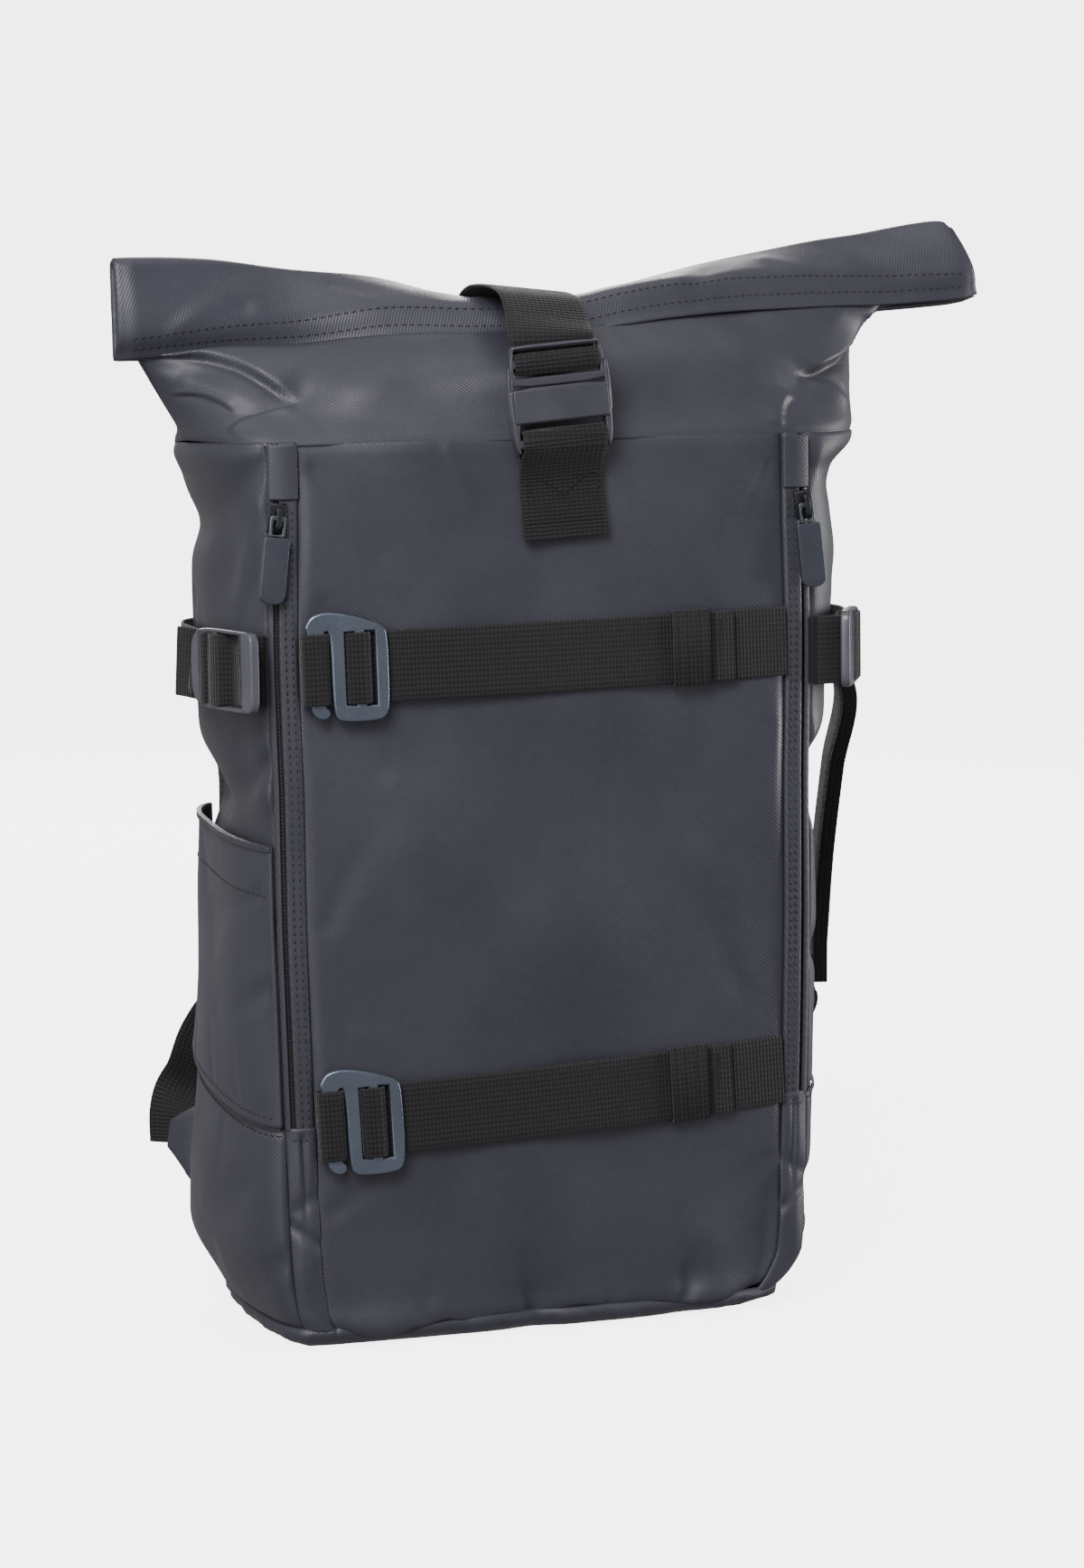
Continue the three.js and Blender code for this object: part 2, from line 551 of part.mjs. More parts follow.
// Front straps. The webbing starts in the right zip seam, passes under the hook's right limb, turns round
// the hook's inner bar and comes back over itself, through the keeper, to its folded end.
const stand1 = seamGap + strapLift + webThick / 2; // first layer, middle above the panel
const stand2 = stand1 + webThick + seamGap;        // second layer
const hookStand = stand2 + webThick / 2 + seamGap + hookThick / 2;
const overBar = hookStand + hookThick / 2 + seamGap + webThick / 2;
function onFront(x, z, off) {
  const s = sizesAt(z), t = (x / s.front + 1) / 2;
  const p = bodyPoint('front', clamp01(t), z);
  p.x = x;
  p.y -= off;
  return p;
}
// Where the hook's limbs and bars lie, from the hook's left edge.
const hook = { width: 37, half: 23.2, limb: [1.8, 8.4], mid: [11.8, 18], bar: [22.4, 26.8], right: 31.4 };
function hookShape() {
  const s = new THREE.Shape(), slotHalf = frontWeb / 2 + 0.4;
  const points = [[11.8, -19], [15, -23.2], [33, -23.2], [37, -19], [37, 15], [34.5, 18.6], [26, 21.8], [17, 24.2],
    [9, 25], [3.4, 23.4], [0.4, 18.6], [1.8, 16.2], [1.8, -16.2], [4, -20.6], [8, -22], [10.6, -20.4],
    [10.6, -17.6], [8.4, -16.2], [8.4, 16.2], [11.8, 16.8]];
  points.forEach(([x, y], k) => (k ? s.lineTo(x, y) : s.moveTo(x, y)));
  s.holes.push(slot((hook.mid[1] + hook.bar[0]) / 2, 0, hook.bar[0] - hook.mid[1], 2 * slotHalf));
  s.holes.push(slot((hook.bar[1] + hook.right) / 2, 0, hook.right - hook.bar[1], 2 * slotHalf + 0.6));
  return s;
}
function frontStrap(word, zMid, slope) {
  const edge = sizesAt(zMid).front, w = V(-slope, 0, 1), zAt = x => zMid + slope * x;
  const path = [], left = -edge + hookFromSeam - hook.width / 2;
  const put = (x, off) => path.push({ p: onFront(x, zAt(x), off), w });
  const run = (from, to, off, steps) => {
    for (let k = 0; k <= steps; k++) put(lerp(from, to, k / steps), off);
  };
  // the hook sits on one chord, so what passes it is measured from the hook's middle
  const hookX = left + hook.width / 2, hookAt = onFront(hookX, zAt(hookX), hookStand);
  const face = Math.atan2(onFront(left + hook.width, zMid, 0).y - onFront(left, zMid, 0).y, hook.width);
  const along = V(Math.cos(face), Math.sin(face), slope).normalize(), off = V(Math.sin(face), -Math.cos(face), 0);
  const near = (x, stand) => hookAt.clone().addScaledVector(along, x - hook.width / 2)
    .addScaledVector(off, stand - hookStand);
  run(edge - 2, left + hook.width + 6, stand1, 9);
  const push = p => path.push({ p, w });
  push(near(hook.right + 3, stand1));
  push(near(hook.bar[0] + 0.2, stand1));
  for (const p of halfTurn(near(hook.bar[0] + 0.2, stand1), near(hook.bar[0] + 0.2, overBar),
    along.clone().negate(), 4)) push(p);
  push(near(hook.bar[0] + 0.5, overBar));
  push(near(hook.bar[1] + 0.1, overBar));
  push(near(hook.bar[1] + 1.6, overBar - 0.9));
  push(near(hook.bar[1] + 2.2, hookStand));
  push(near(hook.bar[1] + 2.6, stand2 + 0.7));
  push(near(hook.right + 0.2, stand2));
  push(near(hook.width + 1, stand2));
  run(left + hook.width + 6, edge - hemFromSeam, stand2, 9);
  add('front_strap_' + word, band(path, frontWeb, webThick), 'web');

  const g = plate(hookShape(), hookThick);
  g.translate(-hook.width / 2, 0, 0);
  const mesh = add('hook_' + word, g, 'metal');
  const up = off.clone().cross(along).normalize();
  mesh.matrixAutoUpdate = false;
  mesh.matrix.makeBasis(along, up, off).setPosition(hookAt);
  mesh.matrix.decompose(mesh.position, mesh.quaternion, mesh.scale);
  mesh.matrixAutoUpdate = true;

  // the short loop that the hook's left limb hangs in
  const loop = [];
  const start = -edge + 0.4;
  loop.push({ p: onFront(start, zAt(start), stand1), w });
  loop.push({ p: near(hook.limb[0], stand1 + 0.6), w });
  const low = hookStand - hookThick / 2 - seamGap - webThick / 2, high = overBar;
  const turnX = hook.limb[1] - 0.4;
  loop.push({ p: near(turnX, low), w });
  for (const p of halfTurn(near(turnX, low), near(turnX, high), along, 4)) loop.push({ p, w });
  loop.push({ p: near(turnX - 0.2, high), w });
  loop.push({ p: near(hook.limb[0] - 0.1, high), w });
  loop.push({ p: near(hook.limb[0] - 1.3, lerp(high, stand2, 0.22)), w });
  const back = onFront(start, zAt(start), stand2 + 0.6);
  loop.push({ p: back, w });
  add('hook_loop_' + word, band(loop, frontWeb, webThick), 'web');

  // the elastic keeper: a flat sleeve round both layers
  const kx = edge - keeperFromSeam, kz = zAt(kx), thick = 1.0;
  const low2 = 0.9, bottomY = onFront(kx, kz, 0).y;
  const inH = frontWeb / 2 + seamGap, inTop = stand2 + webThick / 2 + seamGap;
  const sleeve = new THREE.Shape();
  sleeve.moveTo(-inH - thick, low2);
  sleeve.lineTo(-inH, low2);
  sleeve.lineTo(-inH, inTop);
  sleeve.lineTo(inH, inTop);
  sleeve.lineTo(inH, low2);
  sleeve.lineTo(inH + thick, low2);
  sleeve.lineTo(inH + thick, inTop + thick * 0.6);
  sleeve.lineTo(inH + thick * 0.4, inTop + thick);
  sleeve.lineTo(-inH - thick * 0.4, inTop + thick);
  sleeve.lineTo(-inH - thick, inTop + thick * 0.6);
  const k = add('keeper_' + word, plate(sleeve, keeperWidth), 'elastic');
  const slant = Math.atan2(onFront(kx + 9, kz, 0).y - onFront(kx - 9, kz, 0).y, 18);
  const kAlong = V(Math.cos(slant), Math.sin(slant), slope).normalize();
  const kOff = V(Math.sin(slant), -Math.cos(slant), 0), kUp = kOff.clone().cross(kAlong).normalize();
  const m = new THREE.Matrix4().makeBasis(kUp, kOff, kAlong.clone()).setPosition(V(kx, bottomY, kz));
  k.applyMatrix4(m);
}
frontStrap('upper', upperStrapZ, upperStrapSlope);
frontStrap('lower', lowerStrapZ, lowerStrapSlope);

// Closure: the buckle in two halves, the sewn strap below it and the strap over the roll.
const lean = buckleLean * Math.PI / 180;
const buckleY = -frontDepth - crownDepth * 0.5 - 9;
const buckleGroup = new THREE.Group();
buckleGroup.position.set(buckleX, buckleY, buckleZ);
buckleGroup.rotation.set(0, 0, 0);
bag.add(buckleGroup);
const toBuckle = new THREE.Matrix4().makeBasis(V(Math.cos(lean), 0, Math.sin(lean)),
  V(-Math.sin(lean), 0, Math.cos(lean)), V(0, -1, 0));
const bRight = V(Math.cos(lean), 0, Math.sin(lean)), bTop = V(-Math.sin(lean), 0, Math.cos(lean));
const inBuckle = (x, up, off) => V(buckleX, buckleY, buckleZ).addScaledVector(bRight, x)
  .addScaledVector(bTop, up).addScaledVector(V(0, -1, 0), off);
const webHalf = closureWeb / 2 + 0.5;
const upperPart = { bottom: 5.2, top: 23.4, slotLow: 9.2, slotHigh: 21.2, barLow: 13.4, barHigh: 17.2 };
const lowerPart = { top: 4.9, bottom: -23.4, slotLow: -17.6, slotHigh: -10.8, barLow: -20.8 };
{
  const s = new THREE.Shape(), a = upperPart;
  [[-buckleHalf + 0.4, a.bottom], [buckleHalf - 0.4, a.bottom], [buckleHalf - 0.8, 10], [buckleHalf - 2.6, a.top - 1.6],
    [buckleHalf - 4, a.top], [-buckleHalf + 4, a.top], [-buckleHalf + 2.6, a.top - 1.6], [-buckleHalf + 0.8, 10]]
    .forEach(([x, y], k) => (k ? s.lineTo(x, y) : s.moveTo(x, y)));
  s.holes.push(slot(0, (a.slotLow + a.barLow) / 2, 2 * webHalf, a.barLow - a.slotLow));
  s.holes.push(slot(0, (a.barHigh + a.slotHigh) / 2, 2 * webHalf - 0.6, a.slotHigh - a.barHigh));
  add('buckle_upper', plate(s, buckleThick * 0.6).applyMatrix4(toBuckle), 'plastic', buckleGroup);
}
{
  const s = new THREE.Shape(), a = lowerPart;
  [[-buckleHalf + 0.2, a.top], [-buckleHalf, 0], [-buckleHalf + 0.6, a.bottom + 4], [-buckleHalf + 2.4, a.bottom],
    [-webHalf - 0.4, a.bottom], [-webHalf - 0.4, a.barLow], [webHalf + 0.4, a.barLow], [webHalf + 0.4, a.bottom],
    [buckleHalf - 2.4, a.bottom], [buckleHalf - 0.6, a.bottom + 4], [buckleHalf, 0], [buckleHalf - 0.2, a.top]]
    .forEach(([x, y], k) => (k ? s.lineTo(x, y) : s.moveTo(x, y)));
  s.holes.push(slot(0, (a.slotLow + a.slotHigh) / 2, 2 * webHalf + 0.2, a.slotHigh - a.slotLow));
  add('buckle_lower', plate(s, buckleThick).applyMatrix4(toBuckle), 'plastic', buckleGroup);
}
{
  // sewn strap: up behind the buckle's lowest bar, over it and down again in front
  const slotAt = inBuckle(0, lowerPart.slotLow, 0), slant = (slotAt.x - closureX) / (slotAt.z - closureEndZ);
  const path = [], w = V(1, 0, -slant), xAt = z => closureX + slant * (z - closureEndZ);
  const put = (z, off) => path.push({ p: onFront(xAt(z), z, off), w });
  const topZ = lowerPart.barLow, barMid = (lowerPart.barLow + lowerPart.slotLow) / 2;
  put(closureEndZ, stand1);
  put(closureEndZ + 12, stand1);
  put(closureEndZ + 24, stand1);
  const behind = inBuckle(0, topZ - 1, -buckleThick / 2 - seamGap - webThick / 2);
  const front = inBuckle(0, topZ - 1, buckleThick / 2 + seamGap + webThick / 2);
  const lastLow = behind.clone();
  lastLow.z -= 3;
  path.push({ p: lastLow, w });
  const turnLow = inBuckle(0, lowerPart.slotLow - 0.4, -buckleThick / 2 - seamGap - webThick / 2);
  const turnHigh = inBuckle(0, lowerPart.slotLow - 0.4, buckleThick / 2 + seamGap + webThick / 2);
  path.push({ p: turnLow, w: bRight });
  for (const p of halfTurn(turnLow, turnHigh, V(0, 0, 1), 4)) path.push({ p, w: bRight });
  path.push({ p: turnHigh, w: bRight });
  path.push({ p: front, w: bRight });
  const s0 = front.clone();
  s0.z -= 5;
  s0.y = lerp(front.y, onFront(xAt(s0.z), s0.z, stand2).y, 0.45);
  path.push({ p: s0, w });
  put(closureEndZ + 26, stand2);
  put(closureEndZ + 13, stand2);
  put(closureEndZ, stand2);
  add('closure_strap_lower', band(path, closureWeb, webThick), 'web');
}
// The strap over the roll: share of its way back, then share of the climb to its crest or of the drop from it.
const strapRows = {
  climb: [[0.090, 0.50], [0.160, 0.88], [0.231, 1], [0.346, 1.07], [0.475, 1.05]],
  fall: [[0.577, 0.05], [0.680, 0.305], [0.795, 0.55]],
};
{
  // strap over the roll: round the buckle's inner bar, up over the roll and down behind to the back seam
  const path = [], w = V(1, 0, -0.1), t = buckleThick * 0.3;
  const a = upperPart, off = t + seamGap + webThick / 2, behind = off + webThick + seamGap;
  const put = (x, y, z) => path.push({ p: V(x, y, z), w });
  const local = (up, d) => path.push({ p: inBuckle(0, up, d), w: bRight });
  const bend = a.barLow + 0.5;
  local(a.top, -behind - 0.3);
  local(a.slotHigh - 1.4, -behind - 0.3);
  local(a.barHigh - 0.6, -off - 0.6);
  local(bend, -off);
  for (const p of halfTurn(inBuckle(0, bend, -off), inBuckle(0, bend, off), bTop.clone().negate(), 5)) {
    path.push({ p, w: bRight });
  }
  local(bend, off);
  local(a.barHigh - 0.3, off);
  local(a.barHigh + 1.3, off - 0.9);
  local(a.barHigh + 1.9, 0);
  local(a.barHigh + 2.5, -off + 0.6);
  local(a.slotHigh + 0.2, -off - 0.2);
  local(a.top + 0.6, -off - 0.2);
  const roll = rollFrame(buckleX), crest = roll.z + roll.thick + 8;
  const reach = backDepth + 3.4 - buckleY, start = buckleZ + a.top;
  for (const [share, rise] of strapRows.climb) {
    put(buckleX, buckleY + reach * share, lerp(start, crest, rise));
  }
  for (const [share, drop] of strapRows.fall) {
    put(buckleX + 5 * drop, buckleY + reach * share, lerp(crest, bodyHeight, drop));
  }
  put(buckleX + 6, backDepth - 6, bodyHeight + 14);
  put(buckleX + 6, backDepth + 3.4, bodyHeight - 1);
  put(buckleX + 6, backDepth + 3.4, bodyHeight - 12);
  add('closure_strap_upper', band(path, closureWeb, webThick), 'web');
}

// Zip garages, sliders and pulls. A pull swings on the slider's pin.
function onSeam(hand, k, z, off) {
  const part = 'zip' + hand, t = hand === 'R' ? k : 1 - k;
  return plainPoint(part, t, z).addScaledVector(V(0, -1, 0), off);
}
for (const [hand, word, sign] of [['L', 'left', -1], ['R', 'right', 1]]) {
  const zTop = bodyHeight - 1, s = sizesAt(bodyHeight - garageHeight / 2);
  const from = s.front + 0.6, to = s.front + flapWidth + zipWidth - 0.2, grid = [], back = [];
  for (let r = 0; r <= 2; r++) {
    const z = lerp(bodyHeight - garageHeight, zTop, r / 2), row = [], row2 = [];
    for (let c = 0; c <= 2; c++) {
      const k = sign > 0 ? c / 2 : 1 - c / 2, x = lerp(from, to, k), bow = 0.8 * (1 - (2 * k - 1) ** 2);
      row.push(V(sign * x, -frontDepth - seamGap - 1.2 - bow + k * zipDrop * 0.6, z));
      row2.push(V(sign * x, -frontDepth - seamGap + k * zipDrop * 0.6, z));
    }
    grid.push(row);
    back.push(row2);
  }
  add('garage_' + word, shell(grid, back), 'cloth');

  // slider: a flat body and the arch that carries the pull; both stand a little ahead of the flap
  const z = bodyHeight - sliderDrop, at = onSeam(hand, 0.35, z, 0), group = new THREE.Group();
  group.position.set(at.x, -sizesAt(z).fore + flapDrop - seamGap - 0.5, z);
  group.rotation.y = -sign * pullTilt * Math.PI / 180;
  bag.add(group);
  const outwards = new THREE.Matrix4().makeBasis(V(0, -1, 0), V(0, 0, 1), V(-1, 0, 0));
  const block = (points, width) => {
    const shape = new THREE.Shape();
    points.forEach(([x, y], k) => (k ? shape.lineTo(x, y) : shape.moveTo(x, y)));
    return plate(shape, width).applyMatrix4(outwards);
  };
  const h = sliderHeight / 2;
  add('slider_' + word, block([[0, -h], [1.8, -h], [2.4, 1.5 - h], [2.4, h - 1], [1.4, h], [0, h]], sliderWidth),
    'metal', group);
  const under = 2.4 + seamGap, room = 2.9, out = under + room + 1.5, leg = 2.4;
  add('bail_' + word, block([[under, 5.2], [under, leg], [under + room - 0.3, leg], [under + room, leg - 0.3],
    [under + room, 0.3 - leg], [under + room - 0.3, -leg], [under, -leg], [under, -5.2], [out - 0.6, -4.4],
    [out, -3.2], [out, 3.2], [out - 0.6, 4.4]], 2.2), 'metal', group);
  // the pull: an open metal link through the arch, and the rubber tab it is moulded into
  const hang = new THREE.Group();
  hang.position.set(0, -(under + room / 2), 0);
  group.add(hang);
  const facing = new THREE.Matrix4().makeBasis(V(1, 0, 0), V(0, 0, 1), V(0, -1, 0));
  const link = new THREE.Shape(), w = pullWidth / 2, side = 3.5;
  [[-side, -pullLink], [side, -pullLink], [side, 0.4], [side - 0.9, 1], [0.9 - side, 1], [-side, 0.4]]
    .forEach(([x, y], k) => (k ? link.lineTo(x, y) : link.moveTo(x, y)));
  link.holes.push(slot(0, -(pullLink + 0.1) / 2, 2 * side - 2.4, pullLink - 1.9));
  add('zip_link_' + word, plate(link, 1.2).applyMatrix4(facing), 'metal', hang);
  const tab = new THREE.Shape(), top = -pullLink - seamGap, end = top - pullLength;
  tab.moveTo(-w + 0.8, top);
  tab.lineTo(-w, top - 1);
  tab.lineTo(-w, end + w * 0.8);
  tab.quadraticCurveTo(-w, end, 0, end);
  tab.quadraticCurveTo(w, end, w, end + w * 0.8);
  tab.lineTo(w, top - 1);
  tab.lineTo(w - 0.8, top);
  add('zip_pull_' + word, plate(tab, pullThick).applyMatrix4(facing), 'rubber', hang);
}

// Side straps. Each side has a flat buckle; the short strap from the zip seam turns round its first inner
// bar, the long one from the back seam round its second.
const sideBars = { wide: 12.5, first: [23.5, 27.3], second: [33.6, 36.8], rear: 40.4 };
function onSide(hand, k, z, off) {
  const part = 'side' + hand, t = hand === 'R' ? k : 1 - k;
  return plainPoint(part, t, z).addScaledVector(outward(part, t, z), off);
}
const sideRows = [
  // way from the buckle's rear end to the back seam, slack off the side on the left, on the right (mm shares of 10)
  [0.00, 0.20, 1.30],
  [0.20, 0.30, 1.80],
  [0.45, 0.35, 1.50],
  [0.70, 0.30, 0.80],
  [1.00, 0.00, 0.00],
];
for (const [hand, word, sign] of [['L', 'left', -1], ['R', 'right', 1]]) {
  const k0 = 0.235, t0 = hand === 'R' ? k0 : 1 - k0, z = sideStrapZ;
  const e3 = outward('side' + hand, t0, z), e2 = V(0, 0, 1), e1 = V(-sign * e3.y, sign * e3.x, 0);
  const flare = sideFlare[hand] * Math.PI / 180;
  const half = sideBuckleThick / 2, above = half + seamGap + webThick / 2;
  const layer1 = -above, layer2 = -above - webThick - seamGap;
  const origin = onSide(hand, k0, z, seamGap + sideLift + webThick / 2 - layer2)
    .addScaledVector(e1, -sideBuckleLength / 2);
  const turned = [e1.clone().multiplyScalar(Math.cos(flare)).addScaledVector(e3, Math.sin(flare)),
    e3.clone().multiplyScalar(Math.cos(flare)).addScaledVector(e1, -Math.sin(flare))];
  e1.copy(turned[0]);
  e3.copy(turned[1]);
  const at = (x, off) => origin.clone().addScaledVector(e1, x).addScaledVector(e3, off);
  const frame = new THREE.Shape(), L = sideBuckleLength, H = sideBuckleHeight / 2, hole = frontWeb / 2 + 0.4;
  [[1.5, -H + 1.5], [4, -H], [L - 9, -H], [L - 2.5, -H + 4], [L, -H + 10], [L, H - 10], [L - 2.5, H - 4], [L - 9, H],
    [4, H], [1.5, H - 1.5], [0, H - 5], [0, 5 - H]].forEach(([x, y], j) => (j ? frame.lineTo(x, y) : frame.moveTo(x, y)));
  const b = sideBars;
  frame.holes.push(slot((b.wide + b.first[0]) / 2, 0, b.first[0] - b.wide, 2 * hole));
  frame.holes.push(slot((b.first[1] + b.second[0]) / 2, 0, b.second[0] - b.first[1], 2 * hole - 0.4));
  frame.holes.push(slot((b.second[1] + b.rear) / 2, 0, b.rear - b.second[1], 2 * hole - 0.8));
  const toSide = new THREE.Matrix4().makeBasis(e1, e2, e1.clone().cross(e2)).setPosition(origin);
  add('side_buckle_' + word, plate(frame, sideBuckleThick).applyMatrix4(toSide), 'plastic');

  const short = [], w = e2, s = (p, to = short) => to.push({ p, w });
  s(onSide(hand, 0.012, z, seamGap + webThick * 1.5 + seamGap));
  s(at(3, layer1));
  s(at(b.wide - 1, layer1));
  s(at(b.wide + 2.5, layer1 + 0.8));
  s(at(b.first[0] - 4.5, above - 0.8));
  s(at(b.first[0] - 1.5, above));
  s(at(b.first[1] - 0.2, above));
  s(at(b.first[1] + 1.0, above - 0.8));
  s(at(b.first[1] + 1.2, 0));
  s(at(b.first[1] + 0.9, layer1 + 0.2));
  s(at(b.first[1] - 1.5, layer2));
  s(at(b.wide, layer2));
  s(at(3, layer2));
  s(onSide(hand, 0.012, z, seamGap + webThick / 2));
  add('side_strap_front_' + word, band(short, frontWeb, webThick), 'web');

  const long = [], column = hand === 'L' ? 1 : 2, kEnd = 0.97, kRear = 0.46;
  const rear = (share, extra) => onSide(hand, lerp(kRear, kEnd, share), z,
    seamGap + webThick / 2 + sideSlack * lookup(sideRows, share, column) + extra);
  for (let j = 6; j >= 1; j--) s(rear(j / 6, 0), long);
  s(at(L + 1.5, layer2 - 0.4), long);
  s(at(b.rear + 1, layer2), long);
  s(at(b.second[0] + 1.2, layer2), long);
  s(at(b.second[0] - 1.2, layer1 + 0.1), long);
  s(at(b.second[0] - 1.6, 0), long);
  s(at(b.second[0] - 0.8, above - 0.5), long);
  s(at(b.second[0] + 0.8, above), long);
  s(at(b.second[1], above), long);
  s(at(b.second[1] + 1.5, above - 1.0), long);
  s(at(b.second[1] + 1.8, 0), long);
  s(at(b.second[1] + 2.4, layer1 + 0.5), long);
  s(at(b.rear + 1.2, layer1), long);
  s(at(L - 1, layer1), long);
  s(at(L + 4, layer1 + 1.2), long);
  s(at(L + 13, layer1 + 1.6), long);
  add('side_strap_back_' + word, band(long, frontWeb, webThick), 'web');
}

// Left pocket: sewn along its sides and at the boot seam, its rim standing off the side.
{
  const rows = 7, cols = 8, outer = [], inner = [], from = 0.06, to = 0.985;
  for (let r = 0; r <= rows; r++) {
    const v = r / rows, o = [], i = [];
    for (let c = 0; c <= cols; c++) {
      const u = c / cols, t = lerp(from, to, u), rise = smooth(1 - t);
      const z = lerp(bootHeight + bootRise * rise + 1, pocketHeight + pocketRise * rise, v);
      const gape = pocketGape * Math.pow(Math.sin(Math.PI * u), 0.8) * Math.pow(v, 0.7);
      const n = outward('sideL', t, z), p = plainPoint('sideL', t, z);
      i.push(p.clone().addScaledVector(n, 2 * seamGap + gape));
      o.push(p.clone().addScaledVector(n, 2 * seamGap + gape + wall));
    }
    outer.push(o);
    inner.push(i);
  }
  add('pocket_left', shell(outer, inner), 'cloth');
}

function onBack(x, z, off) {
  const s = sizesAt(z), p = plainPoint('back', clamp01((1 - x / s.back) / 2), z);
  return V(x, p.y + off, z);
}

// Shoulder straps: padded straps from the top of the back, webbing below them and cloth wings at the
// bottom corners. The right one has swung out and stands on edge; the left one hangs behind the back.
const shoulderRows = {
  // across (of backHalf), behind the back (of strapReach), up (of bodyHeight), turn in degrees, width share
  right: [[0.42, 0.13, 0.905, 0, 1], [0.46, 0.20, 0.885, 0, 1], [0.58, 0.60, 0.890, 4, 1], [0.85, 0.95, 0.855, 18, 1], [1.25, 0.95, 0.800, 45, 1],
    [1.56, 0.75, 0.745, 68, 1], [1.68, 0.62, 0.680, 72, 1], [1.625, 0.58, 0.580, 72, 0.95], [1.575, 0.55, 0.470, 72, 0.9],
    [1.55, 0.53, 0.380, 72, 0.8], [1.55, 0.52, 0.325, 72, 0.6]],
  left: [[-0.42, 0.13, 0.905, 0, 1], [-0.44, 0.20, 0.880, 0, 1], [-0.51, 0.60, 0.860, 0, 1], [-0.60, 0.95, 0.800, 0, 1], [-0.66, 1.00, 0.680, 0, 1],
    [-0.68, 1.00, 0.550, 0, 0.95], [-0.69, 0.95, 0.450, 0, 0.85], [-0.72, 0.85, 0.370, 0, 0.6]],
};
const webRows = {
  // across, behind the back, up, turn, lean of the width in degrees
  right: [[1.53, 0.52, 0.295, 72, 10], [1.49, 0.47, 0.265, 60, 25], [1.36, 0.42, 0.225, 40, 45]],
  left: [[-0.80, 0.66, 0.345, 0, 15], [-0.90, 0.57, 0.325, 0, 30], [-0.99, 0.53, 0.290, 0, 30], [-1.06, 0.48, 0.245, 10, 15]],
};
for (const [word, sign] of [['left', -1], ['right', 1]]) {
  const place = ([x, y, z]) => V(x * backHalf, backDepth + y * strapReach, z * bodyHeight);
  const path = shoulderRows[word].map(row => {
    const a = row[3] * Math.PI / 180;
    return { p: place(row), w: V(Math.cos(a), Math.sin(a), 0), wide: row[4], thick: row[4] < 0.7 ? 0.6 : 1 };
  });
  add('shoulder_pad_' + word, pad(path, padWidth, padThick), 'pad');
  // cloth wing at the bottom corner of the back
  const z = bodyHeight * 0.175, s = sizesAt(z), wing = [], wingThick = 2.6, wingTall = 32;
  wing.push({ p: onBack(sign * (s.back - 2), z - 2, seamGap + wingThick / 2), w: V(0, 0, 1), wide: 1.45 });
  wing.push({ p: V(sign * (s.back + 6), s.aft + 4.5, z), w: V(0, 0, 1), wide: 1.05 });
  wing.push({ p: V(sign * (s.back + 20), s.aft + 12, z + 2), w: V(0, 0, 1), wide: 0.5 });
  // the webbing is sewn to the face of the pad's tip and to the face of the wing
  const [before, tip] = path.slice(-2), lay = tip.w.clone().cross(tip.p.clone().sub(before.p)).normalize();
  const onPad = q => ({ w: tip.w, p: before.p.clone().lerp(tip.p, q).addScaledVector(lay,
    sign * (padThick / 2 * lerp(before.thick, tip.thick, q) + seamGap + webThick / 2)) });
  const wingWay = wing[2].p.clone().sub(wing[1].p).setZ(0).normalize();
  const wingFace = V(-sign * wingWay.y, sign * wingWay.x, 0);
  const onWing = (q, rise, w) => ({ w, p: wing[1].p.clone().lerp(wing[2].p, q).add(V(0, 0, rise))
    .addScaledVector(wingFace, wingThick / 2 + seamGap + webThick / 2) });
  const web = [onPad(0.5), onPad(1), ...webRows[word].map(row => {
    const a = row[3] * Math.PI / 180, b = row[4] * Math.PI / 180 * sign;
    return { p: place(row), w: V(Math.cos(a) * Math.cos(b), Math.sin(a) * Math.cos(b), Math.sin(b)) };
  })];
  const flat = wingWay.clone().negate();
  if (sign < 0) web.push(onWing(0.95, 9, flat), onWing(0.95, -5, flat));
  else web.push(onWing(1.7, 2, V(0.05, 0, 1)), onWing(1.05, 0, V(0, 0, 1)), onWing(0.15, -1, V(0, 0, 1)));
  add('shoulder_web_' + word, band(web, lowerWeb, webThick), 'web');
  add('wing_' + word, band(wing, wingTall, wingThick), 'cloth');
}

// Grab handle at the top of the back.
{
  const path = [], steps = 10, z = bodyHeight - handleWeb / 2 - 1;
  const foot = x => path.push({ p: onBack(x, z, seamGap + handleThick / 2), w: V(0, 0, 1) });
  foot(-handleHalf - handleFoot);
  foot(-handleHalf - 2);
  for (let k = 0; k <= steps; k++) {
    const a = -1 + 2 * k / steps, rise = 0.03 + 0.97 * Math.pow(1 - a * a, 0.45);
    path.push({ p: onBack(a * handleHalf, z, seamGap + handleThick / 2 + handleReach * rise), w: V(0, 0, 1) });
  }
  foot(handleHalf + 2);
  foot(handleHalf + handleFoot);
  add('grab_handle', band(path, handleWeb, handleThick), 'web');
}

export default bag;
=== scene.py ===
# Roll-top backpack: fine cloth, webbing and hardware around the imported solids.
import math

import bmesh
import bpy
import numpy as np
from mathutils import Matrix, Vector


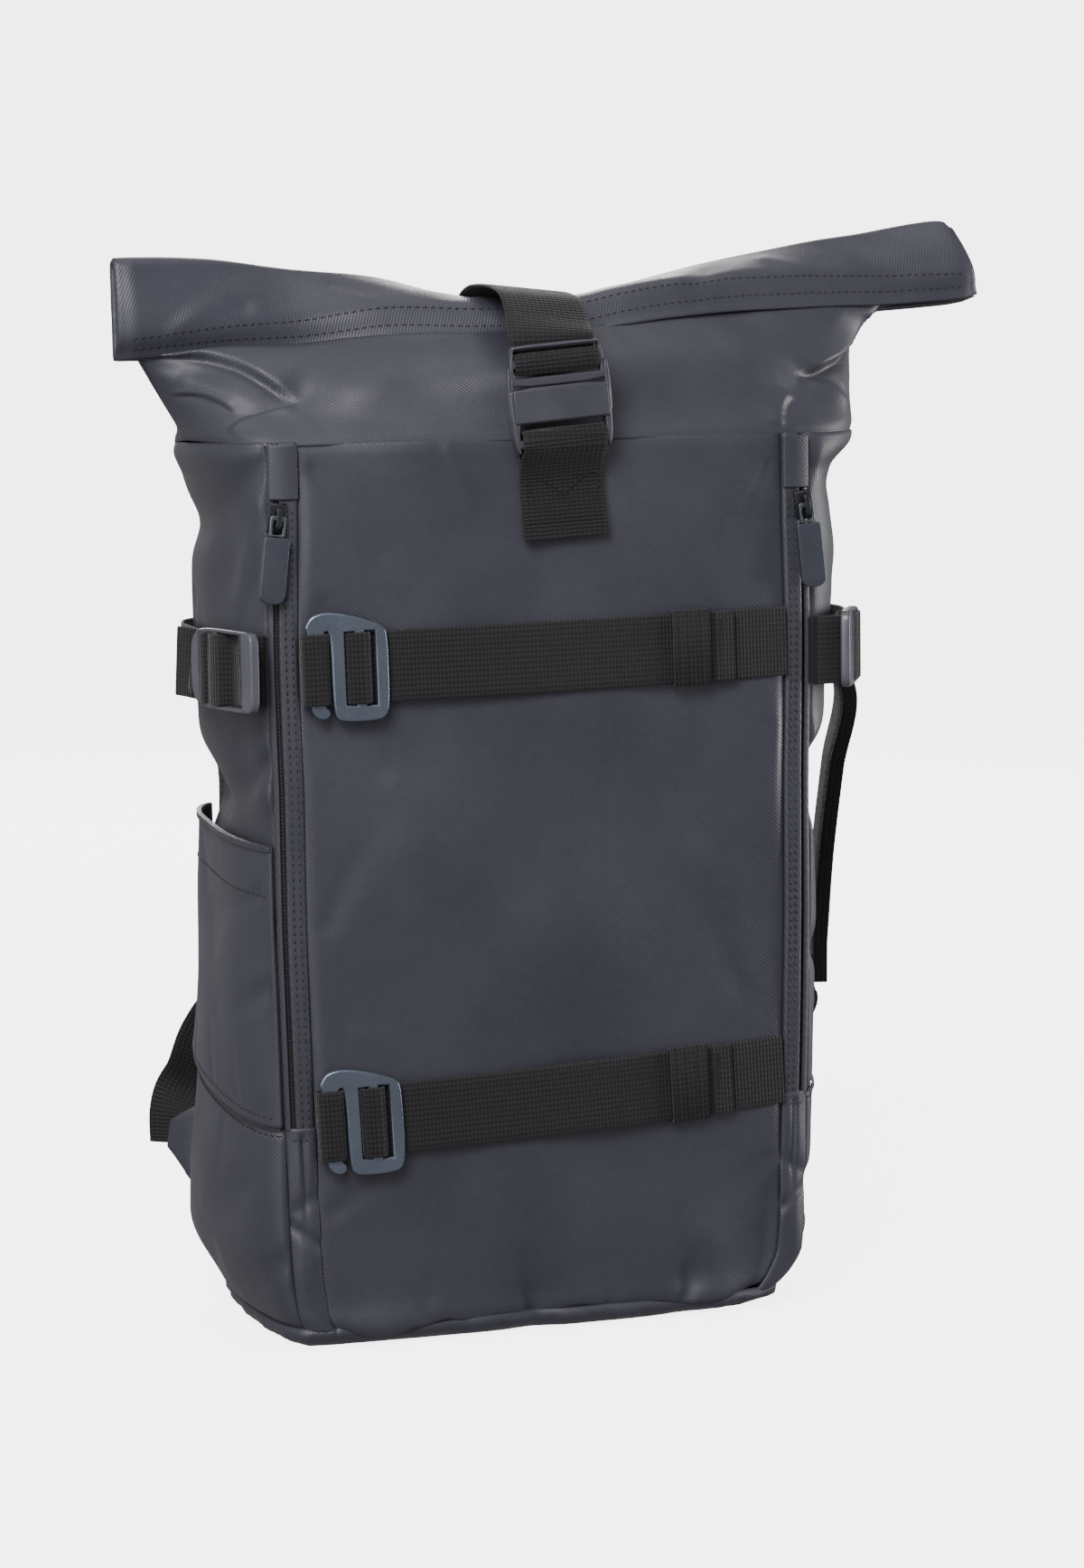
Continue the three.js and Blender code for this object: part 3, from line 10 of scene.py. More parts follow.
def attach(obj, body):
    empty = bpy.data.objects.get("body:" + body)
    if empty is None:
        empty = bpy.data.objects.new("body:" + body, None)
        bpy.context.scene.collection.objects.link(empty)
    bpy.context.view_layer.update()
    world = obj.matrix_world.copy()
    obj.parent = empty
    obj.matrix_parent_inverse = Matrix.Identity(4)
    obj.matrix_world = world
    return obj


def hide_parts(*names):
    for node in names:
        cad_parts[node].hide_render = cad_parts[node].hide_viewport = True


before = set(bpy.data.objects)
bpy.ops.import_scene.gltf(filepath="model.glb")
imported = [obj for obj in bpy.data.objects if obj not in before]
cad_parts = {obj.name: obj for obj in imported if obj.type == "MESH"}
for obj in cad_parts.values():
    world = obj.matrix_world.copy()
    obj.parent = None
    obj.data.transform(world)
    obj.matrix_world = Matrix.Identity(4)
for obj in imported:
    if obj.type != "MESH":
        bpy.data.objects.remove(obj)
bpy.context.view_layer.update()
MM = 0.001
A3 = lambda *v: np.array(v, float)
UP, FORE = A3(0, 0, 1), A3(0, -1, 0)
HANDS = (("L", "left", -1), ("R", "right", 1))


def add(name, data):
    ob = bpy.data.objects.new(name, data)
    bpy.context.scene.collection.objects.link(ob)
    return ob


# Camera of the photograph: azimuth, elevation and roll in degrees, distance and aim in metres
AZ, EL, TURN, DIST, FOCAL_PX, TALL_PX, AIM = -17.7, 6.2, -0.8, 1.8, 4300, 1735, (0.0198, 0, 0.239)
az, el, roll = (math.radians(v) for v in (AZ, EL, TURN))
cam_back = Vector((math.sin(az) * math.cos(el), -math.cos(az) * math.cos(el), math.sin(el)))
cam_right = Vector((math.cos(az), math.sin(az), 0))
cam_up = cam_back.cross(cam_right)
right = cam_right * math.cos(roll) + cam_up * math.sin(roll)
up = cam_up * math.cos(roll) - cam_right * math.sin(roll)
cam_data = bpy.data.cameras.new("camera")
cam = add("camera", cam_data)
cam_data.sensor_fit = "VERTICAL"
cam_data.sensor_height = 36
cam_data.lens = FOCAL_PX / TALL_PX * 36
cam.matrix_world = Matrix((*[(right[k], up[k], cam_back[k], AIM[k] + cam_back[k] * DIST) for k in range(3)],
                           (0, 0, 0, 1)))
bpy.context.scene.camera = cam


# Materials
class Nodes:
    def __init__(self, name, **sockets):
        self.mat = bpy.data.materials.new(name)
        self.mat.use_nodes = True
        self.t = self.mat.node_tree
        self.bsdf = self.t.nodes["Principled BSDF"]
        for k, v in sockets.items():
            self.bsdf.inputs[k.replace("_", " ")].default_value = v

    def new(self, kind, **props):
        n = self.t.nodes.new("ShaderNode" + kind)
        for k, v in props.items():
            if k in n.inputs:
                n.inputs[k].default_value = v
            else:
                setattr(n, k, v)
        return n

    def link(self, a, b):
        self.t.links.new(a, b)

    def coords(self, kind, scale=(1, 1, 1), turn=0.0):
        c = self.new("TexCoord")
        m = self.new("Mapping")
        m.inputs["Scale"].default_value = scale
        m.inputs["Rotation"].default_value = (0, 0, turn)
        self.link(c.outputs[kind], m.inputs["Vector"])
        return m.outputs["Vector"]

    def noise(self, vector, scale, detail=3.0, rough=0.55):
        n = self.new("TexNoise", Scale=scale, Detail=detail, Roughness=rough)
        self.link(vector, n.inputs["Vector"])
        return n.outputs["Fac"]

    def wave(self, vector, period, direction, distort):
        n = self.new("TexWave", wave_type="BANDS", bands_direction=direction, wave_profile="SIN",
                     Scale=0.31416 / period, Distortion=distort)
        self.link(vector, n.inputs["Vector"])
        return n.outputs["Fac"]

    def ranged(self, fac, low, high, a=0.0, b=1.0):
        n = self.new("MapRange")
        for socket, v in (("From Min", a), ("From Max", b), ("To Min", low), ("To Max", high)):
            n.inputs[socket].default_value = v
        self.link(fac, n.inputs["Value"])
        return n.outputs["Result"]

    def colours(self, fac, *stops):
        n = self.new("ValToRGB")
        e = n.color_ramp.elements
        while len(e) < len(stops):
            e.new(0.5)
        for k, (pos, c) in enumerate(stops):
            e[k].position = pos
            e[k].color = (*c, 1)
        self.link(fac, n.inputs["Fac"])
        self.link(n.outputs["Color"], self.bsdf.inputs["Base Color"])

    def maths(self, op, a, b):
        n = self.new("Math", operation=op)
        for k, v in enumerate((a, b)):
            if isinstance(v, (int, float)):
                n.inputs[k].default_value = v
            else:
                self.link(v, n.inputs[k])
        return n.outputs["Value"]

    def bump(self, height, distance, strength=1.0, normal=None):
        n = self.new("Bump", Strength=strength, Distance=distance)
        self.link(height, n.inputs["Height"])
        if normal is not None:
            self.link(normal, n.inputs["Normal"])
        return n.outputs["Normal"]

    def normal(self, n):
        self.link(n, self.bsdf.inputs["Normal"])

    def rough(self, r):
        self.link(r, self.bsdf.inputs["Roughness"])


def tone(c, k):
    return tuple(v * k for v in c)


def make_cloth(name, c, rough, grain=1.0, turn=0.0):
    m = Nodes(name, Specular_IOR_Level=0.5, Sheen_Weight=0.02, Sheen_Roughness=0.5, Coat_Weight=0.06,
              Coat_Roughness=0.4)
    obj, uv = m.coords("Object"), m.coords("UV", turn=turn)
    big = m.noise(obj, 9.0, 4.0)
    fine = m.noise(obj, 260.0, 3.0, 0.6)
    mix = m.maths("ADD", m.maths("MULTIPLY", big, 0.7), m.maths("MULTIPLY", fine, 0.3))
    m.colours(mix, (0.25, tone(c, 0.78)), (0.5, c), (0.78, tone(c, 1.22)))
    twill = m.wave(uv, 0.95 / grain, "DIAGONAL", 0.6)
    cross = m.wave(uv, 0.55 / grain, "X", 0.3)
    weave = m.maths("ADD", twill, m.maths("MULTIPLY", cross, 0.35))
    crumple = m.noise(obj, 42.0, 5.0, 0.62)
    n = m.bump(crumple, 0.0008, 0.22)
    m.normal(m.bump(weave, 0.00010, 0.55, n))
    m.rough(m.ranged(m.noise(obj, 30.0, 3.0), rough - 0.07, rough + 0.09, 0.3, 0.7))
    return m.mat


def make_web(name, c, rib=1.7):
    m = Nodes(name, Specular_IOR_Level=0.35, Sheen_Weight=0.12, Sheen_Roughness=0.45)
    uv, obj = m.coords("UV"), m.coords("Object")
    ribs = m.wave(uv, rib, "Y", 0.5)
    warp = m.wave(uv, 2.3, "X", 0.8)
    h = m.maths("ADD", m.maths("MULTIPLY", ribs, 0.75), m.maths("MULTIPLY", warp, 0.4))
    speck = m.noise(obj, 700.0, 2.0)
    # colour follows the rib height: painted highlight on the rib crests and painted shade between them, mixed
    # with random specks
    m.colours(m.maths("ADD", m.maths("MULTIPLY", h, 0.6), m.maths("MULTIPLY", speck, 0.4)),
              (0.2, tone(c, 0.4)), (0.55, c), (0.9, tone(c, 2.4)))
    m.normal(m.bump(h, 0.0004, 1.0))
    m.rough(m.ranged(speck, 0.62, 0.86))
    return m.mat


def make_hard(name, c, rough, metal=0.0, grain=600.0, depth=0.00004, coat=0.0):
    m = Nodes(name, Metallic=metal, Specular_IOR_Level=0.5, Coat_Weight=coat, Coat_Roughness=0.25)
    obj = m.coords("Object")
    f = m.noise(obj, grain, 3.0)
    wear = m.noise(obj, 60.0, 4.0)
    m.colours(wear, (0.3, tone(c, 0.86)), (0.55, c), (0.8, tone(c, 1.16)))
    m.normal(m.bump(f, depth, 0.6))
    m.rough(m.ranged(f, rough - 0.06, rough + 0.08, 0.3, 0.7))
    return m.mat


def make_mesh_cloth(name, c):
    m = Nodes(name, Specular_IOR_Level=0.3, Sheen_Weight=0.1)
    uv, obj = m.coords("UV"), m.coords("Object")
    v = m.new("TexVoronoi", feature="F1", Scale=0.62)
    m.link(uv, v.inputs["Vector"])
    holes = m.ranged(v.outputs["Distance"], 0.0, 1.0, 0.2, 0.62)
    # colour follows the holes: painted shade in the holes and painted highlight on the strands
    m.colours(holes, (0.0, tone(c, 0.4)), (0.5, c), (1.0, tone(c, 1.5)))
    m.normal(m.bump(m.maths("ADD", holes, m.maths("MULTIPLY", m.noise(obj, 300.0), 0.5)), 0.0004, 0.8))
    m.rough(m.ranged(m.noise(obj, 90.0), 0.7, 0.9))
    return m.mat


CLOTH = (0.0310, 0.0306, 0.0435)
cloth = make_cloth("coated_cloth", CLOTH, 0.47)
# a copy of the cloth 10 % darker, for the sides, zip flaps, welts, pocket rim and back collar: painted shade
cloth_painted_shade = make_cloth("coated_cloth_painted_shade", tone(CLOTH, 0.9), 0.5, turn=0.5)
# a copy of the cloth 4 % lighter, for the roll: painted light
cloth_painted_light = make_cloth("coated_cloth_painted_light", tone(CLOTH, 1.04), 0.44, turn=1.1)
piping = make_cloth("bound_edge", tone(CLOTH, 0.62), 0.52, grain=1.3)
webbing = make_web("webbing", (0.0056, 0.0050, 0.0060))
binding = make_web("binding_tape", (0.0105, 0.0105, 0.0135), rib=1.0)
elastic = make_web("ribbed_elastic", (0.0062, 0.0054, 0.0062), rib=2.1)
hook_metal = make_hard("hook_metal", (0.155, 0.178, 0.23), 0.26, 0.8, 900.0, 0.00002)
zip_metal = make_hard("dark_metal", (0.028, 0.030, 0.034), 0.24, 0.6, 700.0, 0.00001, 0.4)
link_metal = make_hard("link_metal", (0.16, 0.17, 0.18), 0.32, 0.85, 700.0, 0.00001)
side_plastic = make_hard("side_buckle_plastic", (0.078, 0.078, 0.094), 0.30, 0.0, 1400.0, 0.00005)
plastic = make_hard("buckle_plastic", (0.050, 0.049, 0.062), 0.32, 0.0, 1400.0, 0.00005)
rubber = make_hard("pull_rubber", (0.036, 0.039, 0.052), 0.30, 0.0, 900.0, 0.00004)
tape = make_hard("zip_tape", (0.0035, 0.0035, 0.0045), 0.42, 0.0, 800.0, 0.00003)
thread = make_hard("thread", (0.008, 0.008, 0.010), 0.55, 0.0, 2500.0, 0.00003)
thread_dark = make_hard("thread_dark", (0.003, 0.003, 0.0034), 0.65, 0.0, 2500.0, 0.00003)
mesh_cloth = make_mesh_cloth("padding_mesh", (0.027, 0.0275, 0.033))


# Meshes
def settle(name, me, mat, body, nodes, sharp=None):
    """Puts a finished mesh into the scene, on its body, in place of its nodes."""
    me.materials.append(mat)
    me.polygons.foreach_set("use_smooth", [True] * len(me.polygons))
    if sharp is not None:
        me.set_sharp_from_angle(angle=math.radians(sharp))
    ob = add(name, me)
    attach(ob, body)
    if nodes is not None:
        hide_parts(*nodes)
    return ob


def piece(name, verts, faces, mat, uv=None, nodes=None, body="bag", sharp=None):
    verts = np.array(verts, float)
    if mat in (cloth, cloth_painted_shade, thread) and "roll" not in name:
        # the lower right corner is tucked in
        x, y, z = verts.T
        low = np.clip((27 - z) / 27, 0, 1) ** 1.3 * ease((x - 78) / 40) * ease((60 - y) / 90)
        verts[:, 0] -= 15 * low
        verts[:, 2] += 2.0 * low * ease(verts[:, 2] / 3)
    me = bpy.data.meshes.new(name)
    me.from_pydata((verts * MM).tolist(), [], [tuple(int(i) for i in f) for f in faces])
    me.validate()
    if uv is not None:
        layer = me.uv_layers.new(name="UVMap")
        idx = np.empty(len(me.loops), np.int32)
        me.loops.foreach_get("vertex_index", idx)
        layer.data.foreach_set("uv", np.asarray(uv, np.float32)[idx].ravel())
    return settle(name, me, mat, body, nodes, sharp)


def unit(v):
    n = np.linalg.norm(v, axis=-1, keepdims=True)
    return v / np.where(n < 1e-9, 1, n)


def normals_of(P):
    return unit(np.cross(np.gradient(P, axis=1), np.gradient(P, axis=0)))


def run(P):
    """How far along a line each of its points is."""
    return np.concatenate([[0], np.cumsum(np.linalg.norm(np.diff(P, axis=0), axis=1))])


def hermite(t, h, a, slope_a, b, slope_b):
    return ((2 * t**3 - 3 * t**2 + 1) * a + (t**3 - 2 * t**2 + t) * h * slope_a
            + (3 * t**2 - 2 * t**3) * b + (t**3 - t**2) * h * slope_b)


def arc_uv(P):
    R, C = P.shape[:2]
    u = np.concatenate([np.zeros((R, 1)), np.cumsum(np.linalg.norm(np.diff(P, axis=1), axis=2), 1)], 1)
    v = np.concatenate([np.zeros((1, C)), np.cumsum(np.linalg.norm(np.diff(P, axis=0), axis=2), 0)], 0)
    u = u - u[:, C // 2:C // 2 + 1]
    return np.stack([u, v], -1)


def strip_uv(across, along):
    return np.stack(np.broadcast_arrays(across, along[:, None]), -1)


def quads(R, C, start=0, flip=False):
    r, c = np.meshgrid(np.arange(R - 1), np.arange(C - 1), indexing="ij")
    a = (start + r * C + c).ravel()
    f = np.stack([a, a + 1, a + C + 1, a + C], 1)
    return f[:, ::-1] if flip else f


def border(R, C):
    top = [(0, c) for c in range(C)] + [(r, C - 1) for r in range(1, R)]
    return top + [(R - 1, c) for c in range(C - 2, -1, -1)] + [(r, 0) for r in range(R - 2, 0, -1)]


def skin(name, O, I, mat, nodes=None, uv=None, reach=None, sharp=None):
    """Joins two layers of points into a closed sheet; reach is how far its rolled rim stands out."""
    R, C = O.shape[:2]
    n, loop = R * C, border(R, C)
    at = [r * C + c for r, c in loop]
    uv = (arc_uv(O) if uv is None else uv).reshape(-1, 2)
    verts, uvs = [O.reshape(-1, 3), I.reshape(-1, 3)], [uv, uv]
    faces = [*quads(R, C), *quads(R, C, n, True)]
    if reach is not None:
        away = [unit(O[r, c] - O[min(max(r, 1), R - 2), min(max(c, 1), C - 2)]) for r, c in loop]
        verts.append(np.array([(O[r, c] + I[r, c]) / 2 + v * reach for (r, c), v in zip(loop, away)]))
        uvs.append(uv[at])
    for k, a in enumerate(at):
        j = (k + 1) % len(at)
        b, m0, m1 = at[j], 2 * n + k, 2 * n + j
        faces += [(b, a, n + a, n + b)] if reach is None else [(b, a, m0, m1), (m1, m0, n + a, n + b)]
    return piece(name, np.concatenate(verts), faces, mat, np.concatenate(uvs), nodes, sharp=sharp)


def shell(name, P, thick, mat, nodes=None, bulge=0.35, N=None):
    """A sheet of cloth with a soft rolled rim. P is a grid of outer points, in millimetres."""
    N = normals_of(P) if N is None else N
    return skin(name, P, P - N * thick, mat, nodes, reach=thick * bulge)


def smooth_path(rows, step=1.6):
    """Rows of numbers, the first three a point, smoothed along a curve through them."""
    rows = np.asarray(rows, float)
    keep = [0] + [k for k in range(1, len(rows)) if np.linalg.norm(rows[k, :3] - rows[k - 1, :3]) > 0.02]
    rows = rows[keep]
    d = run(rows[:, :3])
    slope = np.zeros_like(rows)
    h = np.diff(d)[:, None]
    s = np.diff(rows, axis=0) / h
    slope[0], slope[-1] = s[0], s[-1]
    slope[1:-1] = (s[:-1] * h[1:] + s[1:] * h[:-1]) / (h[1:] + h[:-1])
    n = max(4, int(d[-1] / step))
    x = np.unique(np.concatenate([np.linspace(0, d[-1], n), d]))
    k = np.clip(np.searchsorted(d, x, side="right") - 1, 0, len(d) - 2)
    hh = (d[k + 1] - d[k])[:, None]
    return hermite((x - d[k])[:, None] / hh, hh, rows[k], slope[k], rows[k + 1], slope[k + 1])


def band(name, path, width, thick, mat, nodes=None, step=1.6, soft=0.25):
    """Flat webbing along a path of (point, width direction, share of width, share of thickness)."""
    rows = smooth_path([[*p[0], *unit(np.asarray(p[1], float)), *(p[2:] + (1, 1))[:2]] for p in path], step)
    P, W, Nn = course(rows)
    a = np.array([-1, -0.985, -0.93, -0.7, -0.35, 0, 0.35, 0.7, 0.93, 0.985, 1])
    h = np.array([soft, 0.72, 0.98, 1, 1, 1, 1, 1, 0.98, 0.72, soft])
    return strip(name, P, W, Nn, a, h, rows[:, 6:7] * width / 2, rows[:, 7:8] * thick / 2, mat, nodes, 75)


def course(rows):
    """Points, width directions and normals along a smoothed path."""
    P, W = rows[:, :3], unit(rows[:, 3:6])
    T = unit(np.gradient(P, axis=0))
    W = unit(W - T * np.sum(W * T, 1, keepdims=True))
    return P, W, np.cross(W, T)


def strip(name, P, W, Nn, a, h, half, th, mat, nodes, sharp=None):
    """A strip with a section of places across, a, and shares of its half thickness, h."""
    across = a[None] * half
    O, I = (P[:, None] + across[..., None] * W[:, None] + (sign * h[None] * th)[..., None] * Nn[:, None]
            for sign in (1, -1))
    return skin(name, O, I, mat, nodes, strip_uv(across, run(P)), sharp=sharp)


def beveled(name, node, mat, offset, body="bag", segments=3):
    """A finer copy of a hard solid, with rounded edges."""
    bm = bmesh.new()
    bm.from_mesh(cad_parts[node].data)
    bmesh.ops.remove_doubles(bm, verts=bm.verts, dist=2e-6)
    bmesh.ops.dissolve_limit(bm, angle_limit=math.radians(2), verts=bm.verts, edges=bm.edges)
    edges = [e for e in bm.edges if len(e.link_faces) == 2 and e.calc_face_angle(0) > math.radians(25)]
    bmesh.ops.bevel(bm, geom=edges, offset=offset * MM, segments=segments, profile=0.5, affect="EDGES",
                    clamp_overlap=True)
    bmesh.ops.triangulate(bm, faces=[f for f in bm.faces if len(f.verts) > 4])
    me = bpy.data.meshes.new(name)
    bm.to_mesh(me)
    bm.free()
    return settle(name, me, mat, body, [node], 38)


stitch_bins = {}


def stitches(P, N, mat, pitch=3.4, length=2.3, r=0.36, lift=0.12):
    """Threads lying on a surface along a line of points."""
    P = np.asarray(P, float)
    N, d = np.broadcast_to(unit(np.asarray(N, float)), P.shape), run(P)
    mids = np.arange(pitch / 2, d[-1] - pitch / 2, pitch)
    at = lambda x, Q: np.stack([np.interp(x, d, Q[:, k]) for k in range(3)], 1)
    a, b, n = at(mids - length / 2, P), at(mids + length / 2, P), unit(at(mids, N))
    t = unit(b - a)
    s = np.cross(n, t)
    rings = [(0.0, 0.25), (0.14, 0.85), (0.5, 1.0), (0.86, 0.85), (1.0, 0.25)]
    ang = np.linspace(0, 2 * math.pi, 6, endpoint=False)
    v = np.stack([np.stack([a + (b - a) * q + (n * (np.cos(w) * 0.8 * k) + s * (np.sin(w) * k)) * r + n * lift
                            - n * (0.35 * (1 - k)) for w in ang], 1) for q, k in rings], 1)
    stitch_bins.setdefault(mat, []).append(v)


def flush_stitches():
    for k, (mat, groups) in enumerate(stitch_bins.items()):
        V = np.concatenate(groups)
        one = np.array([(r * 6 + c, (r + 1) * 6 + c, (r + 1) * 6 + (c + 1) % 6, r * 6 + (c + 1) % 6)
                        for r in range(4) for c in range(6)])[:, ::-1]
        faces = (one[None] + (np.arange(len(V)) * 30)[:, None, None]).reshape(-1, 4)
        piece(f"stitching_{k + 1}", V.reshape(-1, 3), faces, mat)


# The bag's surface, as in the solids, in millimetres
bodyHeight, frontHalf, sideHalf, backHalf, frontDepth, backDepth, crownDepth = 400, 113.5, 148, 124, 72, 68, 7
wall, flapWidth, zipWidth, seamGap, baseRim = 1.8, 8.5, 4.5, 0.3, 8
BODY = np.array([
    # up, front, left, right, back, fore, aft, crown
    [0.000, 0.86, 0.80, 0.72, 0.86, 0.97, 0.93, 0.15], [0.012, 0.885, 0.84, 0.77, 0.90, 0.99, 0.96, 0.20],
    [0.040, 0.93, 0.905, 0.865, 0.95, 1.00, 0.99, 0.40], [0.110, 0.955, 0.98, 0.905, 1.03, 1.00, 1.00, 0.70],
    [0.160, 0.96, 0.98, 0.915, 1.03, 1.00, 1.00, 0.80], [0.280, 0.97, 0.95, 0.93, 1.00, 1.00, 1.00, 0.90],
    [0.400, 0.98, 0.92, 0.925, 0.98, 1.00, 1.00, 1.00], [0.480, 0.985, 0.905, 0.935, 0.96, 1.00, 1.00, 1.00],
    [0.560, 0.985, 0.895, 0.92, 0.95, 1.00, 1.00, 1.00], [0.605, 0.985, 0.905, 0.905, 0.95, 1.00, 1.00, 1.00],
    [0.680, 0.99, 0.93, 0.985, 0.97, 1.00, 1.00, 1.00], [0.770, 0.995, 0.94, 1.01, 0.97, 1.00, 1.00, 0.90],
    [0.860, 0.99, 0.935, 1.05, 0.965, 1.00, 0.99, 0.80], [0.915, 0.985, 0.935, 1.03, 0.96, 1.00, 0.98, 0.70],
    [0.960, 0.985, 0.965, 1.01, 0.975, 1.00, 0.98, 0.60], [0.990, 0.985, 0.995, 1.11, 1.00, 1.00, 0.98, 0.50],
    [1.000, 0.985, 0.995, 1.13, 1.00, 1.00, 0.98, 0.50]])
DENTS = [
    # part, across, up, radius across, radius up, depth in mm
    ("sideR", 0.22, 0.602, 0.30, 0.030, 5.5), ("sideR", 0.20, 0.940, 0.30, 0.018, 1.0),
    ("sideR", 0.30, 0.965, 0.40, 0.030, -3.5), ("sideR", 0.22, 0.410, 0.25, 0.015, 2.0),
    ("sideR", 0.22, 0.130, 0.25, 0.022, 6.0),
    ("sideL", 0.72, 0.600, 0.24, 0.040, 12.5), ("sideL", 0.70, 0.905, 0.30, 0.025, 4.0),
    ("sideL", 0.30, 0.860, 0.10, 0.070, 3.5), ("sideL", 0.25, 0.650, 0.12, 0.060, 2.5),
    ("front", 0.22, 0.680, 0.10, 0.060, 2.2), ("front", 0.80, 0.640, 0.10, 0.080, 2.0),
    ("front", 0.50, 0.480, 0.20, 0.100, -1.5), ("front", 0.45, 0.030, 0.05, 0.030, 3.5),
    ("front", 0.80, 0.040, 0.05, 0.030, 3.5), ("back", 0.50, 0.550, 0.12, 0.400, 3.0)]
WAY = {"front": 227.0, "back": 240.0, "sideL": 168.0, "sideR": 168.0}


def lookup(rows, x, col):
    rows = np.asarray(rows, float)
    X, Y = rows[:, 0], rows[:, col]
    x = np.clip(np.asarray(x, float), X[0], X[-1])
    s = np.diff(Y) / np.diff(X)
    m = np.zeros(len(X))
    both = s[:-1] * s[1:] > 0
    m[1:-1] = np.where(both, 2 * s[:-1] * s[1:] / np.where(both, s[:-1] + s[1:], 1), 0)
    k = np.clip(np.searchsorted(X, x, side="right") - 1, 0, len(X) - 2)
    h = X[k + 1] - X[k]
    return hermite((x - X[k]) / h, h, Y[k], m[k], Y[k + 1], m[k + 1])


def ease(t):
    t = np.clip(t, 0, 1)
    return t * t * (3 - 2 * t)


def bell(d):
    return np.exp(-d * d)


def lerp(a, b, t):
    return a + (b - a) * t


def sizes(z):
    z = np.asarray(z, float) / bodyHeight
    scale = (frontHalf, sideHalf, sideHalf, backHalf, frontDepth, backDepth, crownDepth)
    return [s * lookup(BODY, z, c + 1) for c, s in enumerate(scale)]


def mirrored(sign, t):
    """A share across the right part, counted on the left part from its other edge."""
    return t if sign > 0 else 1 - t


def plain(part, t, z):
    """A point of a part at a share across and a height, before any fold."""
    t, z = np.broadcast_arrays(np.asarray(t, float), np.asarray(z, float))
    front, left, rt, back, fore, aft, crown = sizes(z)
    hand = -1 if part.endswith("L") else 1
    edge = front + flapWidth
    start = edge + zipWidth
    if part == "front":
        a = 2 * t - 1
        return np.stack([a * front, -fore - crown * (1 - a * a), z], -1)
    if part == "back":
        a = 1 - 2 * t
        return np.stack([a * back, aft + 2 * (1 - a * a), z], -1)
    k = t if hand > 0 else 1 - t
    if part.startswith("flap"):
        return np.stack([hand * (front + k * flapWidth), -fore + k * 1.2, z], -1)
    if part.startswith("zip"):
        return np.stack([hand * (edge + k * zipWidth), -fore + lerp(1.2, 2.6, k), z], -1)
    wide = rt if hand > 0 else left
    pull = (wide - (start + back) / 8) * 4 / 3
    m = 1 - k
    b0, b1, b2, b3 = m**3, 3 * m * m * k, 3 * m * k * k, k**3
    return np.stack([hand * (b0 * start + (b1 + b2) * pull + b3 * back),
                     b0 * (2.6 - fore) - b1 * 0.82 * fore + b2 * aft * 0.86 + b3 * aft, z], -1)


def outward(part, t, z):
    t = np.asarray(t, float)
    a, b = plain(part, np.maximum(0, t - 0.02), z), plain(part, np.minimum(1, t + 0.02), z)
    n = np.stack([b[..., 1] - a[..., 1], a[..., 0] - b[..., 0], np.zeros(a.shape[:-1])], -1)
    return unit(n)


# Folds, creases and puckers. Each runs between two points of a part (share across, height in mm), with its
# half width and its depth in mm, inward positive.
FOLDS = {
    "front": [
        (0.03, 388, 0.16, 352, 5, 1.0), (0.97, 386, 0.86, 345, 5, 0.9), (0.30, 396, 0.34, 372, 5, -0.7),
        (0.62, 396, 0.60, 368, 5, -0.6), (0.05, 330, 0.14, 280, 7, 0.8), (0.96, 268, 0.84, 222, 8, 0.8),
        (0.04, 190, 0.15, 236, 8, 0.9), (0.90, 150, 0.80, 200, 9, 0.7), (0.03, 62, 0.20, 84, 7, 1.0),
        (0.96, 70, 0.82, 52, 7, 0.9), (0.45, 10, 0.43, 34, 6, 2.2), (0.80, 10, 0.79, 30, 6, 2.0),
        (0.20, 12, 0.24, 32, 6, 1.0), (0.62, 9, 0.60, 26, 6, 0.9), (0.18, 250, 0.30, 214, 10, -0.8),
        (0.70, 300, 0.82, 330, 9, -0.7), (0.10, 140, 0.26, 120, 9, -0.6)],
    "sideL": [
        (1.0, 392, 0.5, 366, 9, 2.4), (0.98, 350, 0.60, 300, 11, 2.2), (0.94, 372, 0.66, 318, 10, -1.8),
        (0.95, 262, 0.45, 238, 8, 3.2), (0.98, 246, 0.62, 252, 9, -1.6), (0.35, 330, 0.2, 280, 12, 1.6),
        (0.97, 190, 0.7, 160, 12, 1.0), (0.85, 124, 0.82, 140, 5, 0.8), (0.70, 120, 0.67, 138, 5, 0.9),
        (0.55, 118, 0.52, 138, 5, 0.9), (0.8, 100, 0.78, 84, 5, 0.8), (0.64, 98, 0.62, 80, 5, 0.9),
        (0.95, 40, 0.7, 24, 9, 1.8), (0.8, 74, 0.50, 50, 12, 1.6), (0.55, 34, 0.35, 20, 9, 1.4)],
    "sideR": [
        (0.0, 384, 0.4, 374, 7, 1.4), (0.02, 350, 0.4, 320, 10, 1.4), (0.0, 256, 0.4, 244, 8, 2.6),
        (0.02, 230, 0.4, 222, 9, 1.0), (0.0, 262, 0.35, 276, 8, -1.4), (0.02, 168, 0.4, 156, 9, 1.2),
        (0.02, 58, 0.4, 48, 8, 2.0), (0.05, 30, 0.35, 20, 8, 1.2), (0.5, 330, 0.75, 270, 14, 1.6),
        (0.6, 200, 0.8, 140, 14, 1.6)],
    "back": [],
}
rng = np.random.default_rng(11)
WAVES = [(rng.uniform(0, 2 * math.pi), rng.uniform(60, 150), rng.uniform(0, 6.28), rng.uniform(0.25, 0.6))
         for _ in range(14)]


